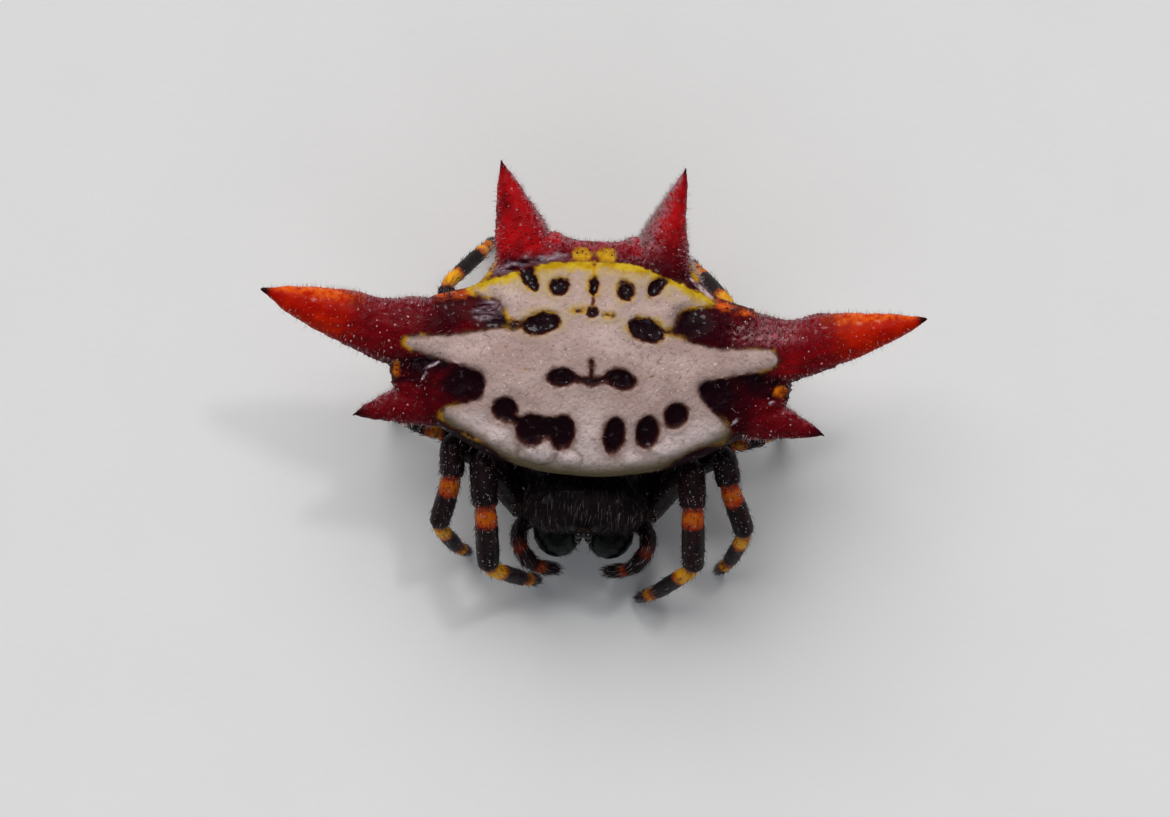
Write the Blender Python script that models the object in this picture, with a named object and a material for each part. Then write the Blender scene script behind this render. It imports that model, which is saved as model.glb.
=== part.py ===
"""Spiny orb weaver, an adult female at life size, as a still model on its eight feet.

The back is up (+Z), the head toward -Y, the rear toward +Y and the animal's own left is +X.
Sizes are in millimetres and MM turns them into metres. In plan they are measured from the
middle of the line through the tips of the two big side spines, which is the widest line of
the animal. FRAME_Y then sets the middle of the whole animal over the origin.
"""
import math

import bmesh
import bpy
from mathutils import Vector

for leftover in list(bpy.data.objects):
    bpy.data.objects.remove(leftover, do_unlink=True)

MM = 0.001
FRAME_Y = 1.56
GAP = 0.10
SMOOTH_ANGLE = math.radians(40)

# The plate on the back: an oval, wider than long, and slightly domed
SPAN = 12.84
DISC_HALF_WIDTH = 3.50
DISC_FRONT = 2.15
DISC_REAR = 1.91
DISC_MIDDLE_Y = -1.15
RIM_HEIGHT = 3.72
DOME_RISE = 0.62
DISC_TILT = 0.04
LEDGE = 0.46
LEDGE_START, LEDGE_FULL = 0.22, 0.85
COLUMNS = 88

# The belly narrows to a round cone that carries the spinnerets
CONE_Y = -0.75
CONE_SPREAD = 2.55
CONE_END = 1.02

# The walking legs, which come out between carapace and sternum
COXA_HEIGHT = 1.16
HIP_HEIGHT = 1.22
HINGE_WAIST = 0.22
FOLD_RUN = 0.5
SNAP = 0.03
LEG_SIDES = 8
FOOT_RADIUS = 0.11


def smoothstep(low, high, value):
    """0 below low, 1 above high and a soft step between."""
    t = min(max((value - low) / (high - low), 0.0), 1.0)
    return t * t * (3 - 2 * t)


def mirrored(place, sign):
    """A place given for the left side, or its mirror image when sign is -1."""
    return Vector((sign * place[0], place[1], place[2]))


def finish_material(name, colour, roughness):
    """A plain shader in the colour of one sub-part."""
    material = bpy.data.materials.new(name)
    material.use_nodes = True
    shader = material.node_tree.nodes["Principled BSDF"]
    shader.inputs["Base Color"].default_value = (*colour, 1.0)
    shader.inputs["Roughness"].default_value = roughness
    return material


def solid(name, points, faces, material):
    """One closed object from points in millimetres, with its faces turned outward."""
    mesh = bpy.data.meshes.new(name)
    shifted = [(x * MM, (y + FRAME_Y) * MM, z * MM) for x, y, z in points]
    mesh.from_pydata(shifted, [], faces)
    bm = bmesh.new()
    bm.from_mesh(mesh)
    bmesh.ops.recalc_face_normals(bm, faces=bm.faces)
    bm.to_mesh(mesh)
    bm.free()
    mesh.materials.append(material)
    mesh.shade_smooth()
    mesh.set_sharp_from_angle(angle=SMOOTH_ANGLE)
    obj = bpy.data.objects.new(name, mesh)
    bpy.context.scene.collection.objects.link(obj)
    return obj


def loft(rings):
    """Points and faces of a closed skin over rings of equal count, with flat end caps."""
    count = len(rings[0])
    points = [tuple(p) for ring in rings for p in ring]
    faces = []
    for row in range(len(rings) - 1):
        for k in range(count):
            a = row * count + k
            b = row * count + (k + 1) % count
            faces.append((a, b, b + count, a + count))
    faces.append(tuple(reversed(range(count))))
    last = (len(rings) - 1) * count
    faces.append(tuple(range(last, last + count)))
    return points, faces


def sweep(path, radii, sides, flat=1.0, first_way=None, last_way=None):
    """A tube along path. flat is its height over its width; the ways turn its end faces."""
    path = [Vector(p) for p in path]
    rings = []
    side = None
    for k, point in enumerate(path):
        along = (path[min(k + 1, len(path) - 1)] - path[max(k - 1, 0)]).normalized()
        if k == 0 and first_way:
            along = first_way
        if k == len(path) - 1 and last_way:
            along = last_way
        if side is None:
            side = along.cross(Vector((0, 0, 1))).normalized()
        side = (side - along * side.dot(along)).normalized()
        up = side.cross(along)
        ring = []
        for n in range(sides):
            turn = 2 * math.pi * n / sides
            offset = side * math.cos(turn) + up * (math.sin(turn) * flat)
            ring.append(point + offset * radii[k])
        rings.append(ring)
    return loft(rings)


def fuse(base, parts):
    """Joins the closed parts to base and keeps the largest closed surface of the result."""
    cutters = bpy.data.collections.new(base.name + "_parts")
    bpy.context.scene.collection.children.link(cutters)
    for part in parts:
        bpy.context.scene.collection.objects.unlink(part)
        cutters.objects.link(part)
    union = base.modifiers.new("union", "BOOLEAN")
    union.operation = "UNION"
    union.operand_type = "COLLECTION"
    union.collection = cutters
    union.solver = "EXACT"
    depsgraph = bpy.context.evaluated_depsgraph_get()
    joined = bpy.data.meshes.new_from_object(base.evaluated_get(depsgraph))
    base.modifiers.clear()
    base.data = joined
    for part in parts:
        bpy.data.objects.remove(part, do_unlink=True)
    bpy.data.collections.remove(cutters)
    keep_largest_shell(base.data)
    joined.shade_smooth()
    joined.set_sharp_from_angle(angle=SMOOTH_ANGLE)


def keep_largest_shell(mesh):
    """Deletes every loose shell of the mesh but the one with the most faces."""
    bm = bmesh.new()
    bm.from_mesh(mesh)
    unseen = set(bm.faces)
    shells = []
    while unseen:
        shell = {unseen.pop()}
        edge_of_shell = list(shell)
        while edge_of_shell:
            face = edge_of_shell.pop()
            for edge in face.edges:
                for other in edge.link_faces:
                    if other in unseen:
                        unseen.remove(other)
                        shell.add(other)
                        edge_of_shell.append(other)
        shells.append(shell)
    shells.sort(key=len)
    loose = [face for shell in shells[:-1] for face in shell]
    bmesh.ops.delete(bm, geom=loose, context="FACES")
    bm.to_mesh(mesh)
    bm.free()


# The abdomen: plate, side wall, belly cone and six spines in one hard shell.
# Each pit is where a muscle is fixed inside: (x, y, half length, half width, turn in degrees).
PIT_DEPTH = 0.07
PITS = [
    (-1.21, 0.36, 0.25, 0.15, 80),
    (-0.66, 0.28, 0.20, 0.20, 0),
    (0.00, 0.30, 0.19, 0.12, 90),
    (0.60, 0.26, 0.18, 0.17, 0),
    (1.19, 0.34, 0.21, 0.15, 60),
    (-1.00, -0.44, 0.40, 0.23, 14),
    (1.00, -0.46, 0.39, 0.25, -14),
    (-0.56, -1.43, 0.30, 0.19, 0),
    (0.57, -1.43, 0.30, 0.20, 0),
    (-1.62, -2.08, 0.25, 0.23, 0),
    (-1.12, -2.50, 0.30, 0.26, -15),
    (-0.48, -2.50, 0.32, 0.27, 0),
    (0.50, -2.50, 0.37, 0.21, 85),
    (1.14, -2.40, 0.33, 0.22, 80),
    (1.68, -2.06, 0.26, 0.22, 50),
    (-1.96, -0.18, 0.30, 0.24, 20),
    (1.87, -0.24, 0.30, 0.25, -20),
    (-2.42, -1.60, 0.34, 0.26, 10),
    (2.46, -1.62, 0.34, 0.26, -10),
]

# Rings of the shell from the top's middle out to the margin and down to the cone's end:
# (share of the way out, height, share of the rear ledge)
TOP_SHARES = [0.07, 0.14, 0.21, 0.28, 0.35, 0.42, 0.49, 0.56, 0.63, 0.70, 0.76, 0.82, 0.88, 0.93, 0.97]
WALL_RINGS = [(1.00, 3.66, 0.10), (1.02, 3.48, 0.62), (1.01, 3.30, 1.00), (0.96, 3.13, 0.95)]
BELLY_RINGS = [
    (0.86, 2.97, 0.60),
    (0.73, 2.78, 0.25),
    (0.60, 2.46, 0.0),
    (0.49, 2.06, 0.0),
    (0.39, 1.62, 0.0),
    (0.31, 1.26, 0.0),
    (0.25, 1.07, 0.0),
    (0.19, CONE_END, 0.0),
]


# Where the margin reaches further out than its oval, or is hollow, between two spines:
# (way from the middle, in degrees behind the line through both sides, reach, half width)
FLARES = [(-8, 0.36, 12), (18.5, 0.23, 4.7), (30, -0.22, 6.7), (66, 0.22, 8)]


def margin_radius(turn):
    """Distance from the plate's middle to its margin in one direction: an oval with flares."""
    length = DISC_REAR if math.sin(turn) > 0 else DISC_FRONT
    across = math.cos(turn) / DISC_HALF_WIDTH
    along = math.sin(turn) / length
    radius = 1 / math.hypot(across, along)
    behind = math.degrees(math.asin(math.sin(turn)))
    for way, reach, half_width in FLARES:
        radius += reach * math.exp(-(((behind - way) / half_width) ** 2))
    return radius


def plate_height(x, y, share):
    """Height of the back: a shallow dome, a little higher at the rear, with the pits."""
    height = RIM_HEIGHT + DOME_RISE * (1 - share**2.2) + DISC_TILT * (y - DISC_MIDDLE_Y)
    for px, py, half_length, half_width, degrees in PITS:
        turn = math.radians(degrees)
        dx, dy = x - px, y - py
        along = (dx * math.cos(turn) + dy * math.sin(turn)) / half_length
        across = (dy * math.cos(turn) - dx * math.sin(turn)) / half_width
        height -= PIT_DEPTH * math.exp(-((along**2 + across**2) ** 2))
    return height


def shell_ring(share, height, ledge):
    """One ring of the shell. A height of None stands for a ring on the back."""
    ring = []
    belly = height is not None and height < WALL_RINGS[-1][1]
    roundness = smoothstep(0.80, 0.45, share) if belly else 0.0
    middle_y = DISC_MIDDLE_Y + (CONE_Y - DISC_MIDDLE_Y) * roundness
    for k in range(COLUMNS):
        turn = 2 * math.pi * k / COLUMNS
        radius = share * (margin_radius(turn) * (1 - roundness) + CONE_SPREAD * roundness)
        x = radius * math.cos(turn)
        y = middle_y + radius * math.sin(turn)
        z = plate_height(x, y, share) if height is None else height
        if height is not None:
            z += DISC_TILT * (y - DISC_MIDDLE_Y) * (1 - roundness)
        y += LEDGE * ledge * smoothstep(LEDGE_START, LEDGE_FULL, math.sin(turn))
        ring.append((x, y, z))
    return ring


def spine(name, root, tip, root_radius, taper, flat, lift, material):
    """A thorn of the shell: widest at its root, bowed by lift, and drawn out to a point."""
    root, tip = Vector(root), Vector(tip)
    inward = (root - tip).normalized()
    rings = 9
    path = [root + inward * root_radius * 0.8]
    radii = [root_radius * 0.95]
    for k in range(rings + 1):
        t = 1 - (1 - k / rings) ** 1.25
        point = root.lerp(tip, t) + Vector((0, lift[0], lift[1])) * math.sin(math.pi * t)
        path.append(point)
        radii.append(max(root_radius * (1 - t) ** taper, 0.03))
    points, faces = sweep(path, radii, 12, flat)
    return solid(name, points, faces, material)


red_shell = finish_material("red_shell", (0.42, 0.03, 0.02), 0.35)
white_shell = finish_material("white_shell", (0.72, 0.66, 0.60), 0.5)

rings = [shell_ring(share, None, 0.0) for share in TOP_SHARES]
rings += [shell_ring(*ring) for ring in WALL_RINGS + BELLY_RINGS]
points, faces = loft(rings)
abdomen = solid("abdomen", points, faces, white_shell)

BIG_SPINE = {"root": (3.05, -0.80, 3.46), "tip": (SPAN / 2, 0.0, 3.98), "radius": 0.80}
SMALL_SPINE = {"root": (3.05, -2.00, 3.36), "tip": (4.56, -2.40, 3.50), "radius": 0.52}
REAR_SPINE = {"root": (1.30, 0.72, 3.30), "tip": (1.79, 2.70, 3.62), "radius": 0.66}
REAR_TIP_LEAN = 0.13
spines = []
for side, sign in (("left", 1), ("right", -1)):
    for kind, form, taper, flat, lift in (
        ("big", BIG_SPINE, 0.72, 0.80, (-0.05, -0.02)),
        ("small", SMALL_SPINE, 0.82, 0.80, (0.02, 0.0)),
        ("rear", REAR_SPINE, 0.88, 0.85, (0.0, -0.02)),
    ):
        rx, ry, rz = form["root"]
        tx, ty, tz = form["tip"]
        lean = REAR_TIP_LEAN if kind == "rear" else 0.0
        spines.append(
            spine(
                f"{kind}_spine_{side}",
                (sign * rx, ry, rz),
                (sign * tx - lean, ty, tz),
                form["radius"],
                taper,
                flat,
                lift,
                red_shell,
            )
        )

# The egg-laying plate is a small bulge on the belly, just behind the waist
EGG_PLATE = {"place": (0.0, -1.72, 1.92), "radius": 0.30}


def ball(name, place, radii, material, columns=12, rows=8, tilt=0.0):
    """A closed oval body, tilted about the X axis, with small flat poles."""
    rings = []
    for row in range(rows + 1):
        rise = math.pi * (0.04 + 0.92 * row / rows)
        ring = []
        for k in range(columns):
            turn = 2 * math.pi * k / columns
            x = radii[0] * math.sin(rise) * math.cos(turn)
            y = radii[1] * math.sin(rise) * math.sin(turn)
            z = radii[2] * math.cos(rise)
            cy = y * math.cos(tilt) - z * math.sin(tilt)
            cz = y * math.sin(tilt) + z * math.cos(tilt)
            ring.append((place[0] + x, place[1] + cy, place[2] + cz))
        rings.append(ring)
    points, faces = loft(rings)
    return solid(name, points, faces, material)


egg_radius = EGG_PLATE["radius"]
egg_plate = ball(
    "egg_plate", EGG_PLATE["place"], (egg_radius * 1.3, egg_radius, egg_radius), red_shell
)
fuse(abdomen, spines + [egg_plate])

# The spinnerets: a low mound under the cone with two long pairs of cones and a short one
MOUND_RADIUS = 0.40
MOUND_TOP = CONE_END - GAP
MOUND_BASE = MOUND_TOP - 0.24
spinneret_brown = finish_material("spinneret_brown", (0.10, 0.05, 0.04), 0.6)
mound_rings = []
for share, height in ((1.0, MOUND_TOP), (1.12, MOUND_TOP - 0.12), (0.9, MOUND_BASE)):
    ring = []
    for k in range(16):
        turn = 2 * math.pi * k / 16
        x = MOUND_RADIUS * share * math.cos(turn)
        ring.append((x, CONE_Y + MOUND_RADIUS * share * math.sin(turn), height))
    mound_rings.append(ring)
points, faces = loft(mound_rings)
spinnerets = solid("spinnerets", points, faces, spinneret_brown)
cones = []
for index, (x, y, radius, length) in enumerate(
    ((0.17, -0.15, 0.17, 0.30), (0.16, 0.18, 0.15, 0.26), (0.05, 0.02, 0.10, 0.20))
):
    for sign in (1, -1):
        root = Vector((sign * x, CONE_Y + y, MOUND_BASE + 0.12))
        tip = root + Vector((-sign * 0.03, 0.0, -0.12 - length))
        path = [root.lerp(tip, t) for t in (0.0, 0.5, 0.85, 1.0)]
        points, faces = sweep(path, [radius, radius * 0.9, radius * 0.6, radius * 0.3], 8)
        cones.append(solid(f"spinneret_{index}_{sign}", points, faces, spinneret_brown))
fuse(spinnerets, cones)

# The head and chest: one hard shell, low at the waist and square-shouldered at the face
carapace_black = finish_material("carapace_black", (0.015, 0.012, 0.014), 0.4)
CARAPACE_FLOOR = 1.46
CARAPACE_REAR = -2.42
CARAPACE_FRONT = -4.42
CARAPACE_STATIONS = [
    (0.00, 0.42, 0.34),
    (0.06, 0.66, 0.50),
    (0.16, 0.92, 0.72),
    (0.30, 1.10, 1.04),
    (0.45, 1.17, 1.36),
    (0.60, 1.18, 1.52),
    (0.74, 1.19, 1.54),
    (0.86, 1.16, 1.46),
    (0.94, 1.04, 1.32),
    (0.985, 0.88, 1.14),
    (1.00, 0.72, 0.96),
]


def carapace_ring(share, half_width, height):
    """A cross-section: a flat floor and a squarish dome over it. The floor rises to the face."""
    y = CARAPACE_REAR + (CARAPACE_FRONT - CARAPACE_REAR) * share
    floor = CARAPACE_FLOOR + 0.80 * smoothstep(0.58, 0.80, share)
    top = CARAPACE_FLOOR + height
    ring = []
    for k in range(24):
        turn = 2 * math.pi * k / 24
        wide = math.copysign(abs(math.cos(turn)) ** 0.75, math.cos(turn))
        high = math.copysign(abs(math.sin(turn)) ** 0.85, math.sin(turn))
        middle = floor + (top - floor) * 0.32
        z = middle + high * ((top - middle) if high > 0 else (middle - floor))
        ring.append((half_width * wide, y, z))
    return ring


points, faces = loft([carapace_ring(*station) for station in CARAPACE_STATIONS])
carapace = solid("carapace", points, faces, carapace_black)

# The pedicel: the narrow waist between chest and abdomen
PEDICEL_RADIUS = 0.24
PEDICEL_HEIGHT = 1.82
pedicel_start = CARAPACE_REAR + GAP
pedicel_path = [(0, pedicel_start + step, PEDICEL_HEIGHT + step * 0.5) for step in (0, 0.08, 0.17)]
pedicel_radii = [PEDICEL_RADIUS, PEDICEL_RADIUS * 0.92, PEDICEL_RADIUS]
points, faces = sweep(pedicel_path, pedicel_radii, 12)
solid("pedicel", points, faces, carapace_black)

# The breastplate with the lip and the two mouth plates in front of it
sternum_brown = finish_material("sternum_brown", (0.03, 0.02, 0.02), 0.45)
STERNUM_TOP = CARAPACE_FLOOR - GAP
STERNUM_STATIONS = [
    (-2.62, 0.14, 0.30),
    (-2.74, 0.28, 0.40),
    (-3.00, 0.40, 0.50),
    (-3.35, 0.46, 0.54),
    (-3.62, 0.42, 0.52),
    (-3.76, 0.36, 0.46),
    (-3.92, 0.32, 0.40),
]
rings = []
for y, half_width, depth in STERNUM_STATIONS:
    ring = []
    for k in range(14):
        turn = 2 * math.pi * k / 14
        z = STERNUM_TOP - depth / 2 + math.sin(turn) * depth / 2
        ring.append((half_width * math.cos(turn), y, z))
    rings.append(ring)
points, faces = loft(rings)
solid("sternum", points, faces, sternum_brown)

# The chelicerae: two smooth swollen jaws, side by side, each with its fang folded in
jaw_black = finish_material("jaw_black", (0.02, 0.022, 0.018), 0.25)
JAW_PLACE = (0.51, -4.42, 1.42)
JAW_RADII = (0.45, 0.49, 0.66)
JAW_LEAN = math.radians(-14)
for side, sign in (("left", 1), ("right", -1)):
    x, y, z = JAW_PLACE
    jaw = ball(
        f"chelicera_{side}", (sign * x, y, z), JAW_RADII, jaw_black, 16, 10, JAW_LEAN
    )
    fang_root = Vector((sign * (x + 0.06), y + 0.16, z - JAW_RADII[2] + 0.16))
    fang_path = [
        fang_root,
        fang_root + Vector((0, 0.03, -0.20)),
        fang_root + Vector((-sign * 0.12, 0.05, -0.30)),
        fang_root + Vector((-sign * 0.28, 0.06, -0.32)),
    ]
    points, faces = sweep(fang_path, [0.14, 0.11, 0.07, 0.025], 8)
    fuse(jaw, [solid(f"fang_{side}", points, faces, jaw_black)])

# The eyes: four on a low knob in the middle of the face, and a pair on each shoulder of it
eye_black = finish_material("eye_black", (0.01, 0.01, 0.012), 0.08)
EYE_RADIUS = 0.075
EYE_RISE = 0.13
MIDDLE_SPACING = (0.10, 0.09)
SIDE_SPACING = 0.075
MIDDLE_EYES = {"from": (0.0, -6.0, 2.66), "radius": 0.21, "rise": 0.10}
SIDE_EYES = {"from": (3.0, -5.9, 2.62), "toward": (0.75, -3.6, 2.40), "radius": 0.15, "rise": 0.09}


def seat(start, toward):
    """The point of the head's shell met on the way from start, and the way straight out of it."""
    start, toward = Vector(start), Vector(toward)
    offset = Vector((0, FRAME_Y, 0))
    way = (toward - start).normalized()
    _, place, out, _ = carapace.ray_cast((start + offset) * MM, way)
    return place / MM - offset, out


def eye_knob(name, place, out, radius, rise):
    """A low dome with a flat foot, a hair's breadth off the shell it stands on."""
    place = place + out * GAP * 0.6
    path = [place + out * rise * step for step in (0.0, 0.45, 0.85, 1.0)]
    points, faces = sweep(path, [radius, radius * 0.93, radius * 0.62, radius * 0.3], 12)
    return solid(name, points, faces, eye_black)


place, out = seat(MIDDLE_EYES["from"], (0.0, -3.0, MIDDLE_EYES["from"][2]))
knob = eye_knob("eyes_middle", place, out, MIDDLE_EYES["radius"], MIDDLE_EYES["rise"])
balls = []
for sign in (1, -1):
    for level in (1, -1):
        up = out.cross(Vector((-1, 0, 0))).normalized() * level
        aside = Vector((sign * MIDDLE_SPACING[0], 0, 0))
        centre = place + out * EYE_RISE + aside + up * MIDDLE_SPACING[1]
        balls.append(ball(f"eye_{sign}_{level}", centre, (EYE_RADIUS,) * 3, eye_black, 8, 5))
fuse(knob, balls)
for side, sign in (("left", 1), ("right", -1)):
    start = mirrored(SIDE_EYES["from"], sign)
    toward = mirrored(SIDE_EYES["toward"], sign)
    place, out = seat(start, toward)
    knob = eye_knob(f"eyes_{side}", place, out, SIDE_EYES["radius"], SIDE_EYES["rise"])
    across = out.cross(Vector((0, 0, 1))).normalized()
    balls = []
    for order in (1, -1):
        centre = place + out * EYE_RISE + across * (order * SIDE_SPACING)
        balls.append(ball(f"eye_{side}_{order}", centre, (EYE_RADIUS,) * 3, eye_black, 8, 5))
    fuse(knob, balls)


def curve_point(start, corner, end, t):
    """A point of the curve that rounds a corner."""
    return start.lerp(corner, t).lerp(corner.lerp(end, t), t)


def limb_line(corners, bends):
    """The middle line of a limb. bends says how far from its corner each hinge starts to turn.

    It gives one list for each segment, of (point, share of the segment), and the middle
    and way of every hinge between two segments. A hinge with no bend is a sharp fold.
    """
    corners = [Vector(c) for c in corners]
    runs = [(corners[k], corners[k + 1]) for k in range(len(corners) - 1)]
    lengths = [(end - start).length for start, end in runs]
    segments, hinges = [], []
    enter = leave = None
    for k, (start, end) in enumerate(runs):
        low = min(bends[k - 1] / lengths[k], 0.42) if k > 0 else 0.0
        high = 1 - min(bends[k] / lengths[k], 0.42) if k < len(bends) else 1.0
        line = [(start.lerp(end, low + (high - low) * step), low + (high - low) * step)
                for step in (0.0, 0.33, 0.67, 1.0)]
        if low > 0:
            line.insert(0, (curve_point(enter, start, leave, 0.75), 0.04))
        if k < len(bends):
            after = runs[k + 1][1]
            share = min(bends[k] / lengths[k + 1], 0.42)
            enter, leave = line[-1][0], end.lerp(after, share)
            if bends[k]:
                line.append((curve_point(enter, end, leave, 0.25), 0.96))
                way = (leave - enter).normalized()
            else:
                way = ((end - start).normalized() + (after - end).normalized()).normalized()
            hinges.append((curve_point(enter, end, leave, 0.5), way, bends[k] > 0))
        segments.append(line)
    return segments, hinges


def barrel(radius, share):
    """The radius of a segment, which is a barrel, narrow where it is hinged to the next."""
    return radius * (1 - HINGE_WAIST * abs(2 * share - 1) ** 3)


def trim(limb, point, way):
    """Cuts the limb off square beyond a plane and closes it with a flat face.

    Corners closer than SNAP to the plane lie on the cut, and corners as close to each other
    become one.
    """
    bm = bmesh.new()
    bm.from_mesh(limb.data)
    place = (point + Vector((0, FRAME_Y, 0))) * MM
    everything = bm.verts[:] + bm.edges[:] + bm.faces[:]
    bmesh.ops.bisect_plane(
        bm, geom=everything, dist=SNAP * MM, plane_co=place, plane_no=way, clear_outer=True
    )
    bmesh.ops.remove_doubles(bm, verts=bm.verts, dist=SNAP * MM)
    bmesh.ops.edgeloop_fill(bm, edges=[edge for edge in bm.edges if edge.is_boundary])
    bmesh.ops.recalc_face_normals(bm, faces=bm.faces)
    bm.to_mesh(limb.data)
    bm.free()
    limb.data.shade_smooth()
    limb.data.set_sharp_from_angle(angle=SMOOTH_ANGLE)


def limb_part(name, line, radii, first, last, material):
    """The closed piece of a limb from segment first to last, half a gap short of its hinges.

    Where a hinge is a sharp fold, the piece runs on past it and is then cut off slantwise, in
    the plane that halves the fold, so that both sides of the hinge have the same flat face.
    """
    segments, hinges = line
    path, widths = [], []
    for k in range(first, last + 1):
        if k > first:
            path.append(hinges[k - 1][0])
            widths.append(barrel((radii[k - 1] + radii[k]) / 2, 0.0))
        for point, share in segments[k]:
            path.append(point)
            widths.append(barrel(radii[k], share))
    first_way = last_way = None
    cuts = []
    if first > 0:
        middle, way, curved = hinges[first - 1]
        if curved:
            first_way = way
            path.insert(0, middle + way * GAP / 2)
            widths.insert(0, widths[0])
        else:
            path.insert(0, path[0] + (path[0] - path[1]).normalized() * FOLD_RUN)
            widths.insert(0, widths[0])
            cuts.append((middle + way * GAP / 2, -way))
    if last < len(segments) - 1:
        middle, way, curved = hinges[last]
        if curved:
            last_way = way
            path.append(middle - way * GAP / 2)
            widths.append(widths[-1])
        else:
            path.append(path[-1] + (path[-1] - path[-2]).normalized() * FOLD_RUN)
            widths.append(widths[-1])
            cuts.append((middle - way * GAP / 2, way))
    elif path[-1].z < FOOT_RADIUS:
        last_way = Vector((0, 0, -1))
        widths[-1] = FOOT_RADIUS
    points, faces = sweep(path, widths, LEG_SIDES, 1.0, first_way, last_way)
    limb = solid(name, points, faces, material)
    for point, way in cuts:
        trim(limb, point, way)
    return limb


# The walking legs, the front pair first. The coxa comes out of the body's side, the short
# trochanter turns the leg, and then come femur, patella, tibia, metatarsus and tarsus.
leg_black = finish_material("leg_black", (0.03, 0.018, 0.016), 0.45)
COXA_ROOTS = [(0.62, -3.70), (0.70, -3.31), (0.68, -2.88), (0.52, -2.50)]
TROCHANTERS = [(1.20, -4.06), (1.46, -3.42), (1.42, -2.80), (1.04, -2.24)]
LEG_RADII = [
    (0.22, 0.24, 0.27, 0.25, 0.21, 0.17),
    (0.22, 0.24, 0.25, 0.24, 0.20, 0.17),
    (0.22, 0.22, 0.22, 0.21, 0.19, 0.16),
    (0.22, 0.24, 0.23, 0.22, 0.19, 0.16),
]
# Heights of the knee and of the far ends of patella, tibia, metatarsus and tarsus
JOINT_HEIGHTS = [
    (2.72, 2.70, 1.90, 0.64, 0.0),
    (2.62, 2.58, 1.86, 0.62, 0.0),
    (1.84, 1.90, 1.72, 0.60, 0.0),
    (2.20, 2.22, 2.02, 0.64, 0.0),
]
# Places of the same five joints in plan, as the animal holds its legs on each side
JOINT_PLACES = {
    "leg_1_left": [(2.02, -2.98), (2.10, -3.88), (2.17, -5.06), (1.46, -5.58), (1.12, -5.72)],
    "leg_1_right": [(-2.04, -3.02), (-1.92, -4.04), (-1.82, -5.22), (-1.12, -5.42), (-0.84, -5.44)],
    "leg_2_left": [(2.64, -2.72), (2.78, -3.40), (3.16, -4.34), (2.88, -4.92), (2.66, -5.12)],
    "leg_2_right": [(-2.64, -2.72), (-2.60, -3.46), (-2.84, -4.44), (-2.46, -4.86), (-2.24, -4.95)],
    "leg_3_left": [(2.50, -2.62), (2.86, -2.58), (3.44, -2.42), (3.72, -2.30), (3.80, -2.26)],
    "leg_3_right": [(-2.50, -2.62), (-2.90, -2.60), (-3.50, -2.40), (-3.78, -2.28), (-3.86, -2.24)],
    "leg_4_left": [(2.46, -1.52), (2.60, -0.98), (2.66, 0.10), (2.02, 0.78), (1.86, 0.96)],
    "leg_4_right": [(-2.52, -1.50), (-2.72, -0.90), (-2.90, 0.26), (-2.18, 1.04), (-2.02, 1.22)],
}
# How far from its corner each hinge starts to turn: hip, knee, patella, ankle and tarsus
LEG_BENDS = (0.22, 0.0, 0.20, 0.30, 0.16)
for number in (1, 2, 3, 4):
    for side, sign in (("left", 1), ("right", -1)):
        name = f"leg_{number}_{side}"
        root_x, root_y = COXA_ROOTS[number - 1]
        hip_x, hip_y = TROCHANTERS[number - 1]
        corners = [(sign * root_x, root_y, COXA_HEIGHT), (sign * hip_x, hip_y, HIP_HEIGHT)]
        for (x, y), z in zip(JOINT_PLACES[name], JOINT_HEIGHTS[number - 1]):
            corners.append((x, y, z))
        line = limb_line(corners, LEG_BENDS)
        radii = LEG_RADII[number - 1]
        limb_part(f"{name}_femur", line, radii, 0, 1, leg_black)
        limb_part(f"{name}_tibia", line, radii, 2, 3, leg_black)
        limb_part(f"{name}_foot", line, radii, 4, 5, leg_black)

# The palps: two short feelers that curl round the jaws
PALP_RADII = (0.17, 0.165, 0.16, 0.145)
PALP_BENDS = (0.18, 0.18, 0.18)
PALP_JOINTS = [
    (0.74, -4.00, 0.66),
    (1.27, -4.38, 1.02),
    (1.26, -4.76, 1.52),
    (0.98, -5.13, 1.40),
    (0.44, -5.20, 1.10),
]
for side, sign in (("left", 1), ("right", -1)):
    line = limb_line([mirrored(place, sign) for place in PALP_JOINTS], PALP_BENDS)
    limb_part(f"palp_{side}", line, PALP_RADII, 0, 3, leg_black)
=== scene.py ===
import math

import bmesh
import bpy
import numpy as np
from mathutils import Matrix, Vector, noise
from mathutils.bvhtree import BVHTree


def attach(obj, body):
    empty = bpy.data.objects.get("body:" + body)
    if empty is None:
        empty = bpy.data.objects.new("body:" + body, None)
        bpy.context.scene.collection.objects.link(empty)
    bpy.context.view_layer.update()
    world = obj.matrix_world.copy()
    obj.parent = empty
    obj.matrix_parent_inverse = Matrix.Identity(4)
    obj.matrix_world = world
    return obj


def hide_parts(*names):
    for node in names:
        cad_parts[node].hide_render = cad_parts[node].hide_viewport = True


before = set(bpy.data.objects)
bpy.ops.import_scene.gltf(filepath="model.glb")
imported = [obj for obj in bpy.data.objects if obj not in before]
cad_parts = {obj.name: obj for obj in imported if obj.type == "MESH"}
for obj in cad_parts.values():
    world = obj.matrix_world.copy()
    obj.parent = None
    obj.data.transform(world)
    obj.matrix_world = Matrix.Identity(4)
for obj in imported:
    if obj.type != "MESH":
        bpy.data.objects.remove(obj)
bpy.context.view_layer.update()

# The set: a pale matt board under soft light from above and behind. The camera looks straight
# down on the back from 15 cm up, turned by the few degrees that the animal sits askew.
MM = 0.001
# Places below are in plan millimetres. The frame's y is the plan's y plus this.
FRAME_Y = 1.56
VIEW_PLACE = (-0.082, -2.02)
VIEW_HEIGHT = 153.8
VIEW_TURN = math.radians(2.58)
VIEW_WIDTH = 22.54
PLATE_HEIGHT = 3.8
SENSOR = 36
BOARD_SIZE = 3.0
BOARD_COLOUR = (0.84, 0.85, 0.86)


# The node tree that the helpers add to: that of the material or group opened last
open_tree = None


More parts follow.
